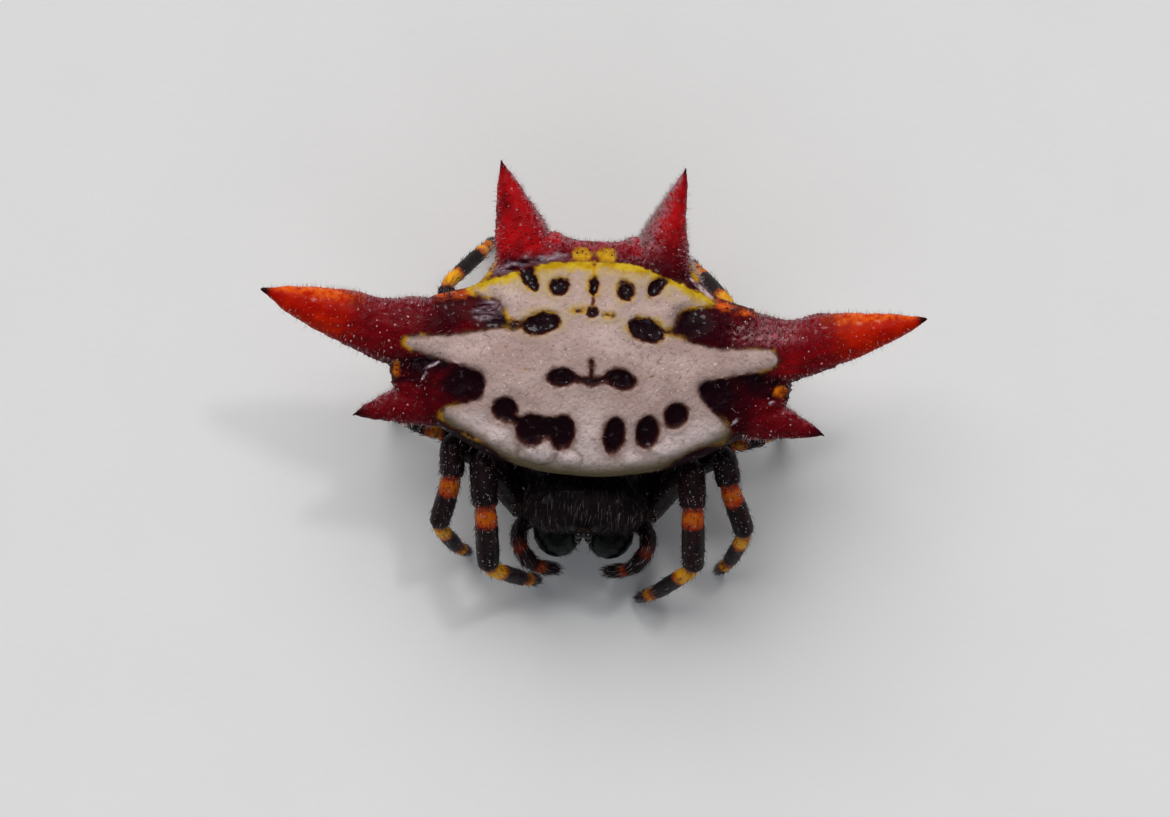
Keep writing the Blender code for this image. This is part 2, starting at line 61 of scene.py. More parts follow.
def add_node(kind, inputs=None, **settings):
    """A shader node with its settings, and its inputs given as sockets, numbers or colours."""
    made = open_tree.nodes.new("ShaderNode" + kind)
    for key, value in settings.items():
        setattr(made, key, value)
    for key, value in (inputs or {}).items():
        socket = made.inputs[key]
        if isinstance(value, bpy.types.NodeSocket):
            open_tree.links.new(value, socket)
        else:
            socket.default_value = (*value, 1.0) if socket.type == "RGBA" else value
    return made


def millimetres():
    """The place on the object, in millimetres."""
    place = add_node("TexCoord").outputs["Object"]
    return add_node("VectorMath", {0: place, 3: 1 / MM}, operation="SCALE").outputs[0]


def grain(scale, detail=2.0, stretch=None):
    """Cloudy noise from 0 to 1, with so many lumps to the millimetre."""
    place = millimetres()
    if stretch:
        place = add_node("VectorMath", {0: place, 1: stretch}, operation="MULTIPLY").outputs[0]
    return add_node("TexNoise", {"Vector": place, "Scale": scale, "Detail": detail}).outputs[0]


def calc(operation, *values):
    """A sum of one kind on sockets or numbers."""
    return add_node("Math", dict(enumerate((*values, 0.0, 0.0)[:3])), operation=operation).outputs[0]


def plus(first, second):
    """Two values added."""
    return calc("ADD", first, second)


def times(first, *factors):
    """A value multiplied by each factor in turn."""
    for factor in factors:
        first = calc("MULTIPLY", first, factor)
    return first


def scaled(value, factor, shift):
    """A value multiplied and then shifted."""
    return calc("MULTIPLY_ADD", value, factor, shift)


def between(value, low, high):
    """0 where value is at low, 1 at high and a soft step between. low may be above high."""
    inputs = {"Value": value, "From Min": low, "From Max": high}
    return add_node("MapRange", inputs, interpolation_type="SMOOTHSTEP").outputs[0]


def clouds(scale, low, high, detail=3.0):
    """Soft clouds of noise: 0 where it is at low and 1 where it is at high."""
    return between(grain(scale, detail), low, high)


def blend(mask, below, above):
    """The colour below, covered by the colour above where the mask is 1."""
    return add_node("Mix", {0: mask, 6: below, 7: above}, data_type="RGBA").outputs[2]


def layered(colour, layers):
    """A colour covered by one layer after another, each given as its mask and its colour."""
    for mask, above in layers:
        colour = blend(mask, colour, above)
    return colour


def bump(height, strength, depth):
    """The surface's normal, tilted by a relief of so many millimetres."""
    return add_node("Bump", {"Height": height, "Strength": strength, "Distance": depth * MM}).outputs[0]


def label(key):
    """A socket's name, from the same name in small letters."""
    return key.replace("_", " ").title().replace("Ior", "IOR")


def finish(name, **plain):
    """Opens a material, with plain numbers set on its shader. Gives it and the shader's inputs."""
    global open_tree
    material = bpy.data.materials.new(name)
    material.use_nodes = True
    open_tree = material.node_tree
    shader = open_tree.nodes["Principled BSDF"].inputs
    for key, value in plain.items():
        shader[label(key)].default_value = value
    return material, shader


def wire(sockets, **values):
    """Feeds each named socket from its value."""
    for key, value in values.items():
        open_tree.links.new(value, sockets[label(key)])


material, shader = finish("matt_board", roughness=0.9)
board_tone = blend(grain(0.4), BOARD_COLOUR, tuple(0.96 * c for c in BOARD_COLOUR))
wire(shader, base_color=board_tone, normal=bump(grain(6), 0.2, 0.02))
board_mesh = bpy.data.meshes.new("board")
half = BOARD_SIZE / 2
corners = [(-half, -half, 0), (half, -half, 0), (half, half, 0), (-half, half, 0)]
board_mesh.from_pydata(corners, [], [(0, 1, 2, 3)])
board_mesh.materials.append(material)
board = bpy.data.objects.new("board", board_mesh)
bpy.context.scene.collection.objects.link(board)

world = bpy.data.worlds.new("soft_room")
bpy.context.scene.world = world
world.use_nodes = True
sky = world.node_tree.nodes["Background"].inputs
sky["Color"].default_value = (0.93, 0.96, 1.0, 1.0)
sky["Strength"].default_value = 0.15
for name, strength, spread, colour, lean in (
    ("window", 2.40, 52, (1.0, 0.97, 0.94), (-42, -16, 0)),
    ("glint", 0.38, 6, (1.0, 0.98, 0.96), (-30, 18, 0)),
    ("front_fill", 0.30, 60, (0.9, 0.94, 1.0), (48, 0, 0)),
):
    lamp = bpy.data.lights.new(name, "SUN")
    lamp.energy = strength
    lamp.angle = math.radians(spread)
    lamp.color = colour
    lamp_object = bpy.data.objects.new(name, lamp)
    lamp_object.rotation_euler = [math.radians(a) for a in lean]
    bpy.context.scene.collection.objects.link(lamp_object)

camera_data = bpy.data.cameras.new("camera")
camera_data.sensor_width = SENSOR
camera_data.lens = SENSOR * (VIEW_HEIGHT - PLATE_HEIGHT) / VIEW_WIDTH
camera_data.clip_start = 0.01
camera = bpy.data.objects.new("camera", camera_data)
camera.location = (VIEW_PLACE[0] * MM, (VIEW_PLACE[1] + FRAME_Y) * MM, VIEW_HEIGHT * MM)
camera.rotation_euler = (0, 0, VIEW_TURN)
bpy.context.scene.collection.objects.link(camera)
bpy.context.scene.camera = camera
bpy.context.scene.view_settings.view_transform = "Standard"

# The abdomen's shell: one hard plate of cuticle with its side wall, belly cone and six spines.
# White grains under a clear skin make the pale field; the pits are where muscles are fixed.
RIM_TOP = 3.72
BIG_SPINE = ((3.05, -0.80, 3.46), (6.42, 0.0, 3.98))
SMALL_SPINE = ((3.05, -2.00, 3.36), (4.56, -2.40, 3.50))
REAR_SPINE = ((1.30, 0.72, 3.30), (1.79, 2.70, 3.62))
REAR_LEAN = 0.13
SPINE_GIRTH = {"big": 0.80, "small": 0.52, "rear": 0.66}

# The pale field's outline in plan, from the middle of the rear margin round by the right
FIELD_RIGHT_SIDE = [
    (-0.51, 0.79), (-1.14, 0.68), (-1.91, 0.42), (-2.44, 0.22), (-2.22, 0.06), (-1.92, 0.01),
    (-1.71, -0.20), (-1.60, -0.38), (-1.32, -0.44), (-1.52, -0.57), (-1.72, -0.53), (-2.30, -0.63),
    (-2.90, -0.73), (-3.46, -0.75), (-3.61, -0.89), (-3.46, -1.04), (-2.88, -1.20), (-2.36, -1.34),
    (-2.10, -1.44), (-2.04, -1.60), (-2.08, -1.86), (-2.32, -1.98), (-2.72, -2.08), (-2.84, -2.22),
    (-2.76, -2.42), (-2.24, -2.66), (-1.80, -2.92), (-1.40, -3.18), (-0.76, -3.42),
]
FIELD_LEFT_SIDE = [
    (0.10, -3.48), (0.72, -3.42), (1.36, -3.20), (1.78, -2.93), (2.16, -2.70), (2.60, -2.58),
    (2.75, -2.38), (2.66, -2.18), (2.31, -1.89), (2.12, -1.64), (2.18, -1.44), (2.56, -1.33),
    (2.94, -1.24), (3.42, -1.13), (3.60, -0.96), (3.52, -0.77), (3.28, -0.71), (2.62, -0.75),
    (2.00, -0.67), (1.66, -0.56), (1.44, -0.48), (1.57, -0.34), (1.62, -0.16), (1.80, -0.01),
    (2.26, 0.08), (2.20, 0.20), (1.54, 0.50), (0.62, 0.79),
]
# Black pits: (x, y, half length, half width, turn in degrees)
MARKS = [
    (-1.26, 0.43, 0.29, 0.150, 122), (-0.68, 0.29, 0.20, 0.18, 20), (-0.02, 0.32, 0.19, 0.105, 90),
    (0.60, 0.26, 0.20, 0.165, 100), (1.19, 0.38, 0.24, 0.145, 52),
    (-0.99, -0.43, 0.38, 0.22, 16), (1.02, -0.47, 0.37, 0.235, -18),
    (-0.02, -0.17, 0.12, 0.10, 0),
    (-0.56, -1.44, 0.29, 0.185, 4), (0.58, -1.43, 0.30, 0.20, -14), (0.01, -1.49, 0.15, 0.08, 0),
    (-1.62, -2.09, 0.25, 0.23, 0), (-1.09, -2.47, 0.30, 0.30, 0), (-0.50, -2.49, 0.25, 0.33, -8),
    (0.50, -2.50, 0.36, 0.21, 84), (1.13, -2.41, 0.32, 0.225, 82), (1.67, -2.07, 0.26, 0.225, 60),
]
# Narrow dark lines between the pits: (from, to, half width)
LINKS = [
    ((-0.45, -1.43), (0.0, -1.50), 0.06), ((0.0, -1.50), (0.45, -1.40), 0.065),
    ((0.0, -1.10), (0.02, -1.45), 0.035), ((-1.30, -0.47), (-1.62, -0.42), 0.05),
    ((1.34, -0.50), (1.60, -0.46), 0.035), ((-1.68, -2.20), (-1.25, -2.35), 0.09),
    ((-0.38, -0.16), (-0.20, -0.17), 0.02), ((0.20, -0.21), (0.36, -0.22), 0.03),
    ((-1.08, -2.41), (-0.52, -2.42), 0.21), ((-1.26, 0.60), (-1.44, 0.66), 0.10),
]
# Fine yellow-brown line along the middle of the rear, and two faint ticks
THREADS = [
    ((-0.03, 0.80), (-0.02, 0.48), 0.03), ((-0.02, 0.16), (-0.02, -0.06), 0.03),
    ((-1.28, -1.31), (-1.18, -1.31), 0.012), ((1.14, -1.36), (1.24, -1.32), 0.014),
]
# Yellow spots of the rear edge, and an amber one between the spines of each side
GOLD_SPOTS = [
    (-0.27, 0.93, 0.19, 0.15, 0), (0.20, 0.94, 0.19, 0.15, 0), (-2.06, 0.62, 0.09, 0.24, -25),
    (1.92, 0.72, 0.07, 0.20, 20), (-3.74, -1.42, 0.06, 0.16, 10), (3.66, -1.53, 0.12, 0.11, 0),
]
YELLOW_RIM = [
    (-2.46, 0.20), (-1.66, 0.46), (-0.98, 0.68), (-0.03, 0.74), (0.89, 0.70), (1.62, 0.42), (2.30, 0.12),
]
YELLOW_RIM_HALF_WIDTH = 0.085
# Wet dark hollows in the red skin beside the field
GLOOMS = [
    (-2.32, -1.60, 0.34, 0.22, 8), (-3.00, -1.24, 0.50, 0.04, 12), (2.38, -1.62, 0.36, 0.25, -10),
    (3.05, -1.32, 0.50, 0.04, -12), (1.80, -0.22, 0.28, 0.24, -20), (-1.75, -0.30, 0.22, 0.10, 10),
]
# Clear skin in fine folds along the rear edge, and thin silvery streaks of it, some of which are painted
# highlights of wet skin
FOLDED_SKIN = [(-1.98, -0.18, 0.36, 0.17, 20), (-1.60, 0.66, 0.40, 0.11, 28), (-0.95, 0.83, 0.45, 0.05, 12)]
SILVER_SKIN_AND_HIGHLIGHTS = [
    (2.08, 0.37, 0.36, 0.045, -42), (-2.30, 0.30, 0.20, 0.035, 40), (-3.08, -1.32, 0.15, 0.022, 28),
    (-3.20, -1.53, 0.10, 0.022, 62), (2.80, -2.16, 0.10, 0.022, 42), (3.50, -1.76, 0.06, 0.030, 25),
]
# Orange sparks along the rear edge, where light shows through it
EMBERS = [
    (-2.98, 0.05, 0.10, 0.05, 5), (-2.58, 0.08, 0.15, 0.05, 8), (2.98, -0.05, 0.11, 0.05, -8),
    (2.50, 0.07, 0.16, 0.05, -14),
]
# A red glow and a patch of painted sheen by the left big spine's root: (x, y, half length, half width)
RED_GLOW = (3.72, -1.15, 0.34, 0.28)
SHEEN_PATCH = (3.38, -0.46, 0.50, 0.18)
# A pit with fine rings round it in the left hollow, and a glazed place in the right one
RING_PIT = (2.81, -0.37)
SHEEN_SPOT = (-3.15, -1.36)
# Where the dark edge of the field turns yellow: (x, y, radius)
WARM_EDGES = [
    (-3.55, -0.88, 0.42), (-2.78, -2.30, 0.34), (3.56, -0.95, 0.42), (2.70, -2.36, 0.30), (-2.30, 0.18, 0.60),
    (2.20, 0.18, 0.60), (1.66, -0.42, 0.26), (-1.58, -0.30, 0.30), (-2.30, -2.62, 0.30),
]
# How far each spine stands fuller than the smoothed skin, by kind, on the left and on the right
SPINE_SWELL = {"big": (0.025, 0.050), "small": (0.015, 0.02), "rear": (0.0, 0.025)}
# The same for the shift of the rear spines' inner and outer sides, and of the small spines
REAR_FLARE = (0.11, 0.05)
REAR_WAIST = (0.11, 0.0)
SMALL_DROP = (-0.07, -0.06)
# Hollow of the rear edge at each big spine's root: (x, depth)
ROOT_HOLLOWS = [(3.78, 0.16), (-4.02, 0.12)]
ROOT_HOLLOW_REACH = 0.40
# White lobes of the front edge: (x, y, half length, half width, rise)
PUFFS = [
    (-0.94, -2.86, 0.40, 0.27, 0.13), (-0.36, -2.97, 0.25, 0.19, 0.06), (0.86, -2.95, 0.24, 0.18, 0.03),
    (1.50, -2.72, 0.30, 0.16, 0.03), (-1.75, -2.62, 0.24, 0.18, 0.03),
]
PLATE_MIDDLE_Y = -1.15
PLATE_HALVES = (3.50, 2.15)


def fine_skin(name, node, voxel, rounds):
    """An even fine mesh over one CAD node, in millimetres, with its flat facets smoothed away.

    voxel is the size of its facets, and rounds is how often it is smoothed.
    """
    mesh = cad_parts[node].data.copy()
    mesh.transform(Matrix.Scale(1 / MM, 4))
    bm = bmesh.new()
    bm.from_mesh(mesh)
    bmesh.ops.remove_doubles(bm, verts=bm.verts, dist=0.001)
    bm.to_mesh(mesh)
    bm.free()
    mesh.materials.clear()
    skin = bpy.data.objects.new(name, mesh)
    bpy.context.scene.collection.objects.link(skin)
    remesh = skin.modifiers.new("remesh", "REMESH")
    remesh.mode = "VOXEL"
    remesh.voxel_size = voxel
    smooth = skin.modifiers.new("smooth", "SMOOTH")
    smooth.iterations = rounds
    depsgraph = bpy.context.evaluated_depsgraph_get()
    fine = bpy.data.meshes.new_from_object(skin.evaluated_get(depsgraph))
    skin.modifiers.clear()
    skin.data = fine
    return skin


def read_points(mesh):
    """The mesh's points as rows of numbers."""
    flat = np.empty(len(mesh.vertices) * 3, np.float32)
    mesh.vertices.foreach_get("co", flat)
    return flat.reshape(-1, 3).astype(float)


def read_normals(mesh):
    """The mesh's outward ways as rows of numbers."""
    flat = np.empty(len(mesh.vertices) * 3, np.float32)
    mesh.vertex_normals.foreach_get("vector", flat)
    return flat.reshape(-1, 3).astype(float)


def write_points(mesh, points):
    """Moves the mesh's points."""
    mesh.vertices.foreach_set("co", points.astype(np.float32).ravel())
    mesh.update()


def write_mask(mesh, name, values):
    """Keeps one number for each point of the mesh, for its material."""
    layer = mesh.attributes.new(name, "FLOAT", "POINT")
    layer.data.foreach_set("value", np.asarray(values, np.float32))


def step(low, high, values):
    """0 at low, 1 at high and a soft step between. low may be above high."""
    t = np.clip((values - low) / (high - low), 0.0, 1.0)
    return t * t * (3 - 2 * t)


def lumps(points, scale, seed=0.0):
    """Smooth noise from -1 to 1 at each point, with so many lumps to the millimetre."""
    return np.array([noise.noise((x * scale + seed, y * scale, z * scale)) for x, y, z in points])


def spot(plan, place):
    """A soft spot in plan, 1 in its middle."""
    x, y, half_length, half_width = place
    return np.exp(-(((plan[:, 0] - x) / half_length) ** 2) - ((plan[:, 1] - y) / half_width) ** 2)


def bell(values, width):
    """1 where values are 0, falling softly over a width on both sides."""
    return np.exp(-((values / width) ** 2))


def away_from(plan, x, y):
    """Distance in plan to one place."""
    return np.hypot(plan[:, 0] - x, plan[:, 1] - y)


def oval_distance(plan, oval):
    """Distance in plan to an oval's edge, less than 0 inside it."""
    x, y, half_length, half_width, degrees = oval
    turn = math.radians(degrees)
    dx, dy = plan[:, 0] - x, plan[:, 1] - y
    along = dx * math.cos(turn) + dy * math.sin(turn)
    across = dy * math.cos(turn) - dx * math.sin(turn)
    near = np.hypot(along / half_length, across / half_width) + 1e-6
    steep = np.hypot(along / half_length**2, across / half_width**2) + 1e-6
    return near * (near - 1) / steep


def nearest_oval(plan, ovals):
    """Distance in plan to the edge of the nearest oval, less than 0 inside one."""
    return np.min([oval_distance(plan, oval) for oval in ovals], axis=0)


def line_distance(plan, start, end):
    """Distance in plan to a straight line between two places."""
    start, end = np.array(start), np.array(end)
    way = end - start
    share = np.clip(((plan - start) @ way) / (way @ way), 0.0, 1.0)
    return np.hypot(*(plan - start - share[:, None] * way).T)


def merged(first, second, width):
    """The nearer of two distances, rounded where the two shapes meet."""
    close = np.clip(0.5 + 0.5 * (second - first) / width, 0.0, 1.0)
    return second * (1 - close) + first * close - width * close * (1 - close)


def rounded(points, steps, closed):
    """A smooth line through the given places."""
    points = [np.array(p, float) for p in points]
    count = len(points)
    line = []
    for k in range(count if closed else count - 1):
        around = [k - 1, k, k + 1, k + 2]
        a, b, c, d = [points[i % count] if closed else points[min(max(i, 0), count - 1)] for i in around]
        for s in range(steps):
            t = s / steps
            line.append(0.5 * (2 * b + (c - a) * t + (2 * a - 5 * b + 4 * c - d) * t**2
                               + (3 * b - a - 3 * c + d) * t**3))
    if not closed:
        line.append(points[-1])
    return np.array(line)


def outline_distance(plan, outline):
    """Distance in plan to a closed outline, more than 0 inside it."""
    nearest = np.full(len(plan), 1e9)
    inside = np.zeros(len(plan), bool)
    for start, end in zip(outline, np.roll(outline, -1, axis=0)):
        nearest = np.minimum(nearest, line_distance(plan, start, end))
        crosses = (start[1] > plan[:, 1]) != (end[1] > plan[:, 1])
        rise = end[1] - start[1] if abs(end[1] - start[1]) > 1e-9 else 1e-9
        inside ^= crosses & (plan[:, 0] < start[0] + (plan[:, 1] - start[1]) / rise * (end[0] - start[0]))
    return np.where(inside, nearest, -nearest)


def spine_lines():
    """Root, tip and kind of each of the six spines."""
    for sign in (1, -1):
        for kind, (root, tip) in (("big", BIG_SPINE), ("small", SMALL_SPINE), ("rear", REAR_SPINE)):
            lean = REAR_LEAN if kind == "rear" else 0.0
            yield (np.array((sign * root[0], root[1], root[2])),
                   np.array((sign * tip[0] - lean, tip[1], tip[2])), kind)


def spine_share(points, root, tip, kind):
    """How far along a spine each point lies, from 0 at its root to 1 at its tip, and 0 elsewhere."""
    way = tip - root
    share = ((points - root) @ way) / (way @ way)
    away = np.linalg.norm(points - root - share[:, None] * way, axis=1)
    near = away < SPINE_GIRTH[kind] * np.clip(1.25 - share, 0.1, 1.0) + 0.1
    return np.where(near, np.clip(share, 0.0, 1.2), 0.0)


def spine_shares(points):
    """How far along its spine each point lies, for each kind of spine, and for any of them."""
    shares = {kind: np.zeros(len(points)) for kind in SPINE_GIRTH}
    for root, tip, kind in spine_lines():
        shares[kind] = np.maximum(shares[kind], spine_share(points, root, tip, kind))
    return shares, np.max(list(shares.values()), axis=0)


abdomen = fine_skin("abdomen_skin", "abdomen", voxel=0.036, rounds=14)
points = read_points(abdomen.data) - (0, FRAME_Y, 0)
for root, tip, kind in spine_lines():
    share = spine_share(points, root, tip, kind)
    reach = share.max()
    outer = np.clip((share - 0.55) / (reach - 0.55), 0.0, 1.0)
    points += (outer**2 * (1.0 - reach))[:, None] * (tip - root)
write_points(abdomen.data, points)
normals = read_normals(abdomen.data)
for root, tip, kind in spine_lines():
    side = 0 if root[0] > 0 else 1
    share = spine_share(points, root, tip, kind)
    fuller = step(0.04, 0.30, share) * step(1.0, 0.78, share)
    points += normals * (fuller * SPINE_SWELL[kind][side])[:, None]
    if kind == "small":
        points[:, 1] -= SMALL_DROP[side] * np.clip(share, 0.0, 1.0) * step(0.0, 0.2, share)
    if kind == "rear":
        facing = normals[:, 0] * np.sign(root[0])
        inner = np.clip(-facing, 0.0, 1.0) * step(0.0, 0.15, share) * step(0.95, 0.3, share)
        outer = np.clip(facing, 0.0, 1.0) * step(0.0, 0.25, share) * step(0.95, 0.5, share)
        points[:, 0] -= np.sign(root[0]) * (REAR_FLARE[side] * inner + REAR_WAIST[side] * outer)
for x, depth in ROOT_HOLLOWS:
    hollow = bell(points[:, 0] - x, ROOT_HOLLOW_REACH) * step(-0.75, 0.0, points[:, 1])
    points[:, 1] -= depth * hollow * step(2.7, 3.1, points[:, 2])
write_points(abdomen.data, points)
normals = read_normals(abdomen.data)
plan = points[:, :2]
plan_x, plan_y = plan.T

# Where each marking lies, as the distance to its edge, and where the shell's regions lie, from 0 to 1
shares, on_spine = spine_shares(points)
field_outline = rounded(FIELD_RIGHT_SIDE + FIELD_LEFT_SIDE, 4, True)
field = np.minimum(outline_distance(plan, field_outline), (points[:, 2] - RIM_TOP + 0.26) * 0.8)
MARK_BLEND = 0.05
mark = np.full(len(points), 9.0)
for oval in MARKS:
    mark = merged(mark, oval_distance(plan, oval), MARK_BLEND)
for start, end, half_width in LINKS:
    mark = merged(mark, line_distance(plan, start, end) - half_width, MARK_BLEND)
thread = np.min([line_distance(plan, a, b) - half_width for a, b, half_width in THREADS], axis=0)
rim_line = rounded(YELLOW_RIM, 4, False)
rim = np.min([line_distance(plan, a, b) for a, b in zip(rim_line[:-1], rim_line[1:])], axis=0)
rim -= YELLOW_RIM_HALF_WIDTH
gold, gloom, fold, silver, spark = (
    nearest_oval(plan, ovals) for ovals in (GOLD_SPOTS, GLOOMS, FOLDED_SKIN, SILVER_SKIN_AND_HIGHLIGHTS, EMBERS)
)
ring = away_from(plan, *RING_PIT)
outward = np.hypot(plan_x / PLATE_HALVES[0], (plan_y - PLATE_MIDDLE_Y) / PLATE_HALVES[1])
upper = step(3.05, 3.35, points[:, 2]) * step(-0.35, 0.1, normals[:, 2])
belly = (1 - step(2.95, 3.35, points[:, 2])) * (1 - step(0.02, 0.16, on_spine))
soft = step(-0.1, 0.1, field) * upper
red = upper * (1 - step(-0.1, 0.05, field))
glaze = upper * np.max([
    step(0.02, -0.05, mark) * step(-1.9, -1.3, plan_y),
    step(0.10, -0.1, fold),
    0.5 * step(0.22, -0.05, gloom) * step(-0.9, -0.6, plan_y),
    step(0.50, 0.20, ring),
    step(0.45, 0.15, away_from(plan, *SHEEN_SPOT)),
], axis=0)

# Heights and depths of the relief, in millimetres
CUSHION_HEIGHT = 0.035
PIT_DEPTH = 0.065
PIT_LIP = 0.016
HOLLOW_DEPTH = 0.05
SOFT_LUMPS = (0.020, 0.010)
RED_LUMPS = 0.014
FOLD_HEIGHT = 0.022
RING_HEIGHT = 0.018
GLAZE_RIPPLES = 0.016
HIDE_LUMPS = 0.006
SPINE_LUMPS = 0.014
BELLY_LUMPS = 0.03

# The relief: the field's cushion, pits and their lips, hollows, lobes, lumps of the soft and of
# the red skin, folds, the ringed pit, ripples of the glaze, spines and belly
relief = np.zeros(len(points))
relief += upper * CUSHION_HEIGHT * step(-0.02, 0.16, field)
relief -= upper * PIT_DEPTH * step(0.03, -0.10, mark)
relief += upper * PIT_LIP * bell(mark - 0.06, 0.05) * step(0.0, 0.1, field)
relief -= upper * HOLLOW_DEPTH * step(0.15, -0.28, gloom)
puffs = []
uneven = 0.26 * lumps(points, 2.6, 21.0) + 0.16 * lumps(points, 6.5, 22.0)
for x, y, half_length, half_width, rise in PUFFS:
    puffs.append(np.hypot((plan_x - x) / half_length, (plan_y - y) / half_width) + uneven)
    relief += upper * rise * np.clip(1 - puffs[-1] ** 2, 0, 1) ** 0.8
relief += soft * (SOFT_LUMPS[0] * lumps(points, 1.7) + SOFT_LUMPS[1] * lumps(points, 4.5, 7.0))
relief += red * RED_LUMPS * lumps(points, 3.2, 3.0)
ripples = np.sin((plan_x * 0.55 - plan_y * 0.83) * 34 + 3 * lumps(points, 2.0, 11.0))
relief += upper * step(0.1, -0.12, fold) * FOLD_HEIGHT * ripples
relief += upper * RING_HEIGHT * np.cos(ring * 55) * step(0.26, 0.10, ring)
relief += glaze * GLAZE_RIPPLES * lumps(points, 6.0, 31.0)
rough = HIDE_LUMPS + SPINE_LUMPS * step(0.02, 0.2, on_spine)
relief += rough * lumps(points, 7.0, 5.0) * step(1.0, 0.9, on_spine)
relief += belly * BELLY_LUMPS * lumps(points, 1.5, 9.0)
points += relief[:, None] * normals
write_points(abdomen.data, (points + (0, FRAME_Y, 0)) * MM)
abdomen.data.shade_smooth()

# Painted highlight: on each white lobe and, less, over the whole front of the field
lobe_highlight = step(1.25, 0.45, np.min(puffs, axis=0)) * (1 - 0.5 * step(-2.95, -3.2, plan_y))
front_highlight = 0.72 * step(-1.9, -2.4, plan_y) * step(0.02, 0.20, np.minimum(field, mark))
# Where the red is brightest: on the rear spines, a little on the others, and at the rear margin
scarlet = step(0.02, 0.30, shares["rear"] - 0.17 * step(0.0, 0.3, plan_x))
scarlet += 0.08 * step(0.05, 0.4, shares["small"])
scarlet += 0.22 * step(0.02, 0.35, shares["big"])
scarlet += 0.55 * step(0.93, 1.02, outward) * step(0.6, 1.2, plan_y) * step(1.3, 0.8, plan_x)
scarlet += 0.9 * spot(plan, RED_GLOW)
# Where short pale hairs stand and their sheen against the light is painted: on rounded edges that face the
# rear and the lamp, on the spines and the margin
edge_turned = bell(normals[:, 2] - 0.40, 0.34) * (0.2 + 0.8 * step(-0.1, 0.5, normals[:, 1]))
thinned = 1 - 0.55 * step(0.05, 0.20, shares["big"])
sheen_places = step(0.03, 0.15, on_spine) * thinned + step(0.85, 1.0, outward) * step(0.2, 0.8, plan_y)
frost = edge_turned * (1 - belly) * np.clip(sheen_places, 0.0, 1.0)
inner_side = 0.9 * step(0.05, 0.45, -normals[:, 0]) * step(0.08, 0.2, shares["rear"])
frost += inner_side * step(0.0, 0.3, plan_x) * step(-0.2, 0.2, normals[:, 2])
frost += 0.8 * upper * spot(plan, SHEEN_PATCH)
masks = {
    "field": field, "mark": mark, "thread": thread, "rim": rim, "gold": gold, "gloom": gloom, "fold": fold,
    "silver": silver, "spark": spark, "glaze": glaze, "upper": upper, "belly": belly, "spine": on_spine,
    "frost": frost,
    "rearward": step(0.15, 0.85, normals[:, 1]),
    # Dark front of the plate: its own dark brown-black, and painted shade on the front wall below it
    "front": step(-2.30, -2.62, plan_y) * (1 - step(0.02, 0.10, on_spine)),
    "back": step(-0.95, -0.35, plan_y),
    "ahead": 1 - 0.85 * step(0.45, 0.85, plan_y),
    "warm": np.max([bell(away_from(plan, x, y), reach) for x, y, reach in WARM_EDGES], axis=0),
    "puff_highlight": np.maximum(lobe_highlight, front_highlight),
    # Painted shade in the crease round the two big white lobes
    "crease_shade": bell(np.min(puffs[:2], axis=0) - 1.10, 0.12) * step(-3.22, -3.0, plan_y),
    "olive": step(0.83, 0.98, outward) * step(-1.9, -2.4, plan_y),
    "ember": step(0.26, 0.76, shares["big"]),
    "scarlet": np.clip(scarlet, 0.0, 1.0),
    "soot": np.max([
        step(0.925, 0.975, shares["big"]),
        step(0.72, 0.95, shares["small"]),
        step(0.86, 0.99, shares["rear"]),
    ], axis=0),
}
for name, values in masks.items():
    write_mask(abdomen.data, name, values)


def new_group(name, inputs, outputs):
    """Opens a node group. Gives it, what it is given and what it puts out."""
    global open_tree
    open_tree = bpy.data.node_groups.new(name, "ShaderNodeTree")
    for title, kind, value in inputs:
        socket = open_tree.interface.new_socket(name=title, in_out="INPUT", socket_type="NodeSocket" + kind)
        socket.default_value = value
    for title, kind in outputs:
        open_tree.interface.new_socket(name=title, in_out="OUTPUT", socket_type="NodeSocket" + kind)
    given = open_tree.nodes.new("NodeGroupInput").outputs
    return open_tree, given, open_tree.nodes.new("NodeGroupOutput").inputs


# Pigment lies in grains, so an edge between two colours is ragged: Mask is 1 where Distance is
# less than 0. Softness and Raggedness are in millimetres, Grain in lumps to the millimetre.
ragged_edge, given, result = new_group(
    "ragged_edge",
    [("Distance", "Float", 0.0), ("Softness", "Float", 0.02), ("Raggedness", "Float", 0.04),
     ("Grain", "Float", 12.0)],
    [("Mask", "Float")],
)
edge_shift = times(calc("SUBTRACT", grain(given["Grain"]), 0.5), given["Raggedness"])
edge_distance = plus(given["Distance"], edge_shift)
wire(result, mask=between(edge_distance, given["Softness"], times(given["Softness"], -1.0)))

# The clear skin over the white grains is crackled: Lines is 1 on the fine dark cracks, and
# Cells rises to 1 in the middle of each grain.
crackle, given, result = new_group(
    "crackle",
    [("Cells per mm", "Float", 9.0), ("Line", "Float", 0.05)],
    [("Lines", "Float"), ("Cells", "Float")],
)
crack_place = millimetres()
crack_bend = add_node("TexNoise", {"Vector": crack_place, "Scale": 9.0}).outputs[1]
bent = add_node(
    "VectorMath", {0: crack_bend, 1: (0.05,) * 3, 2: crack_place}, operation="MULTIPLY_ADD"
).outputs[0]
cells = {"Vector": bent, "Scale": given["Cells per mm"]}
crack = add_node("TexVoronoi", cells, feature="DISTANCE_TO_EDGE").outputs[0]
wire(result, lines=between(crack, given["Line"], 0.0), cells=between(crack, 0.0, 0.35))

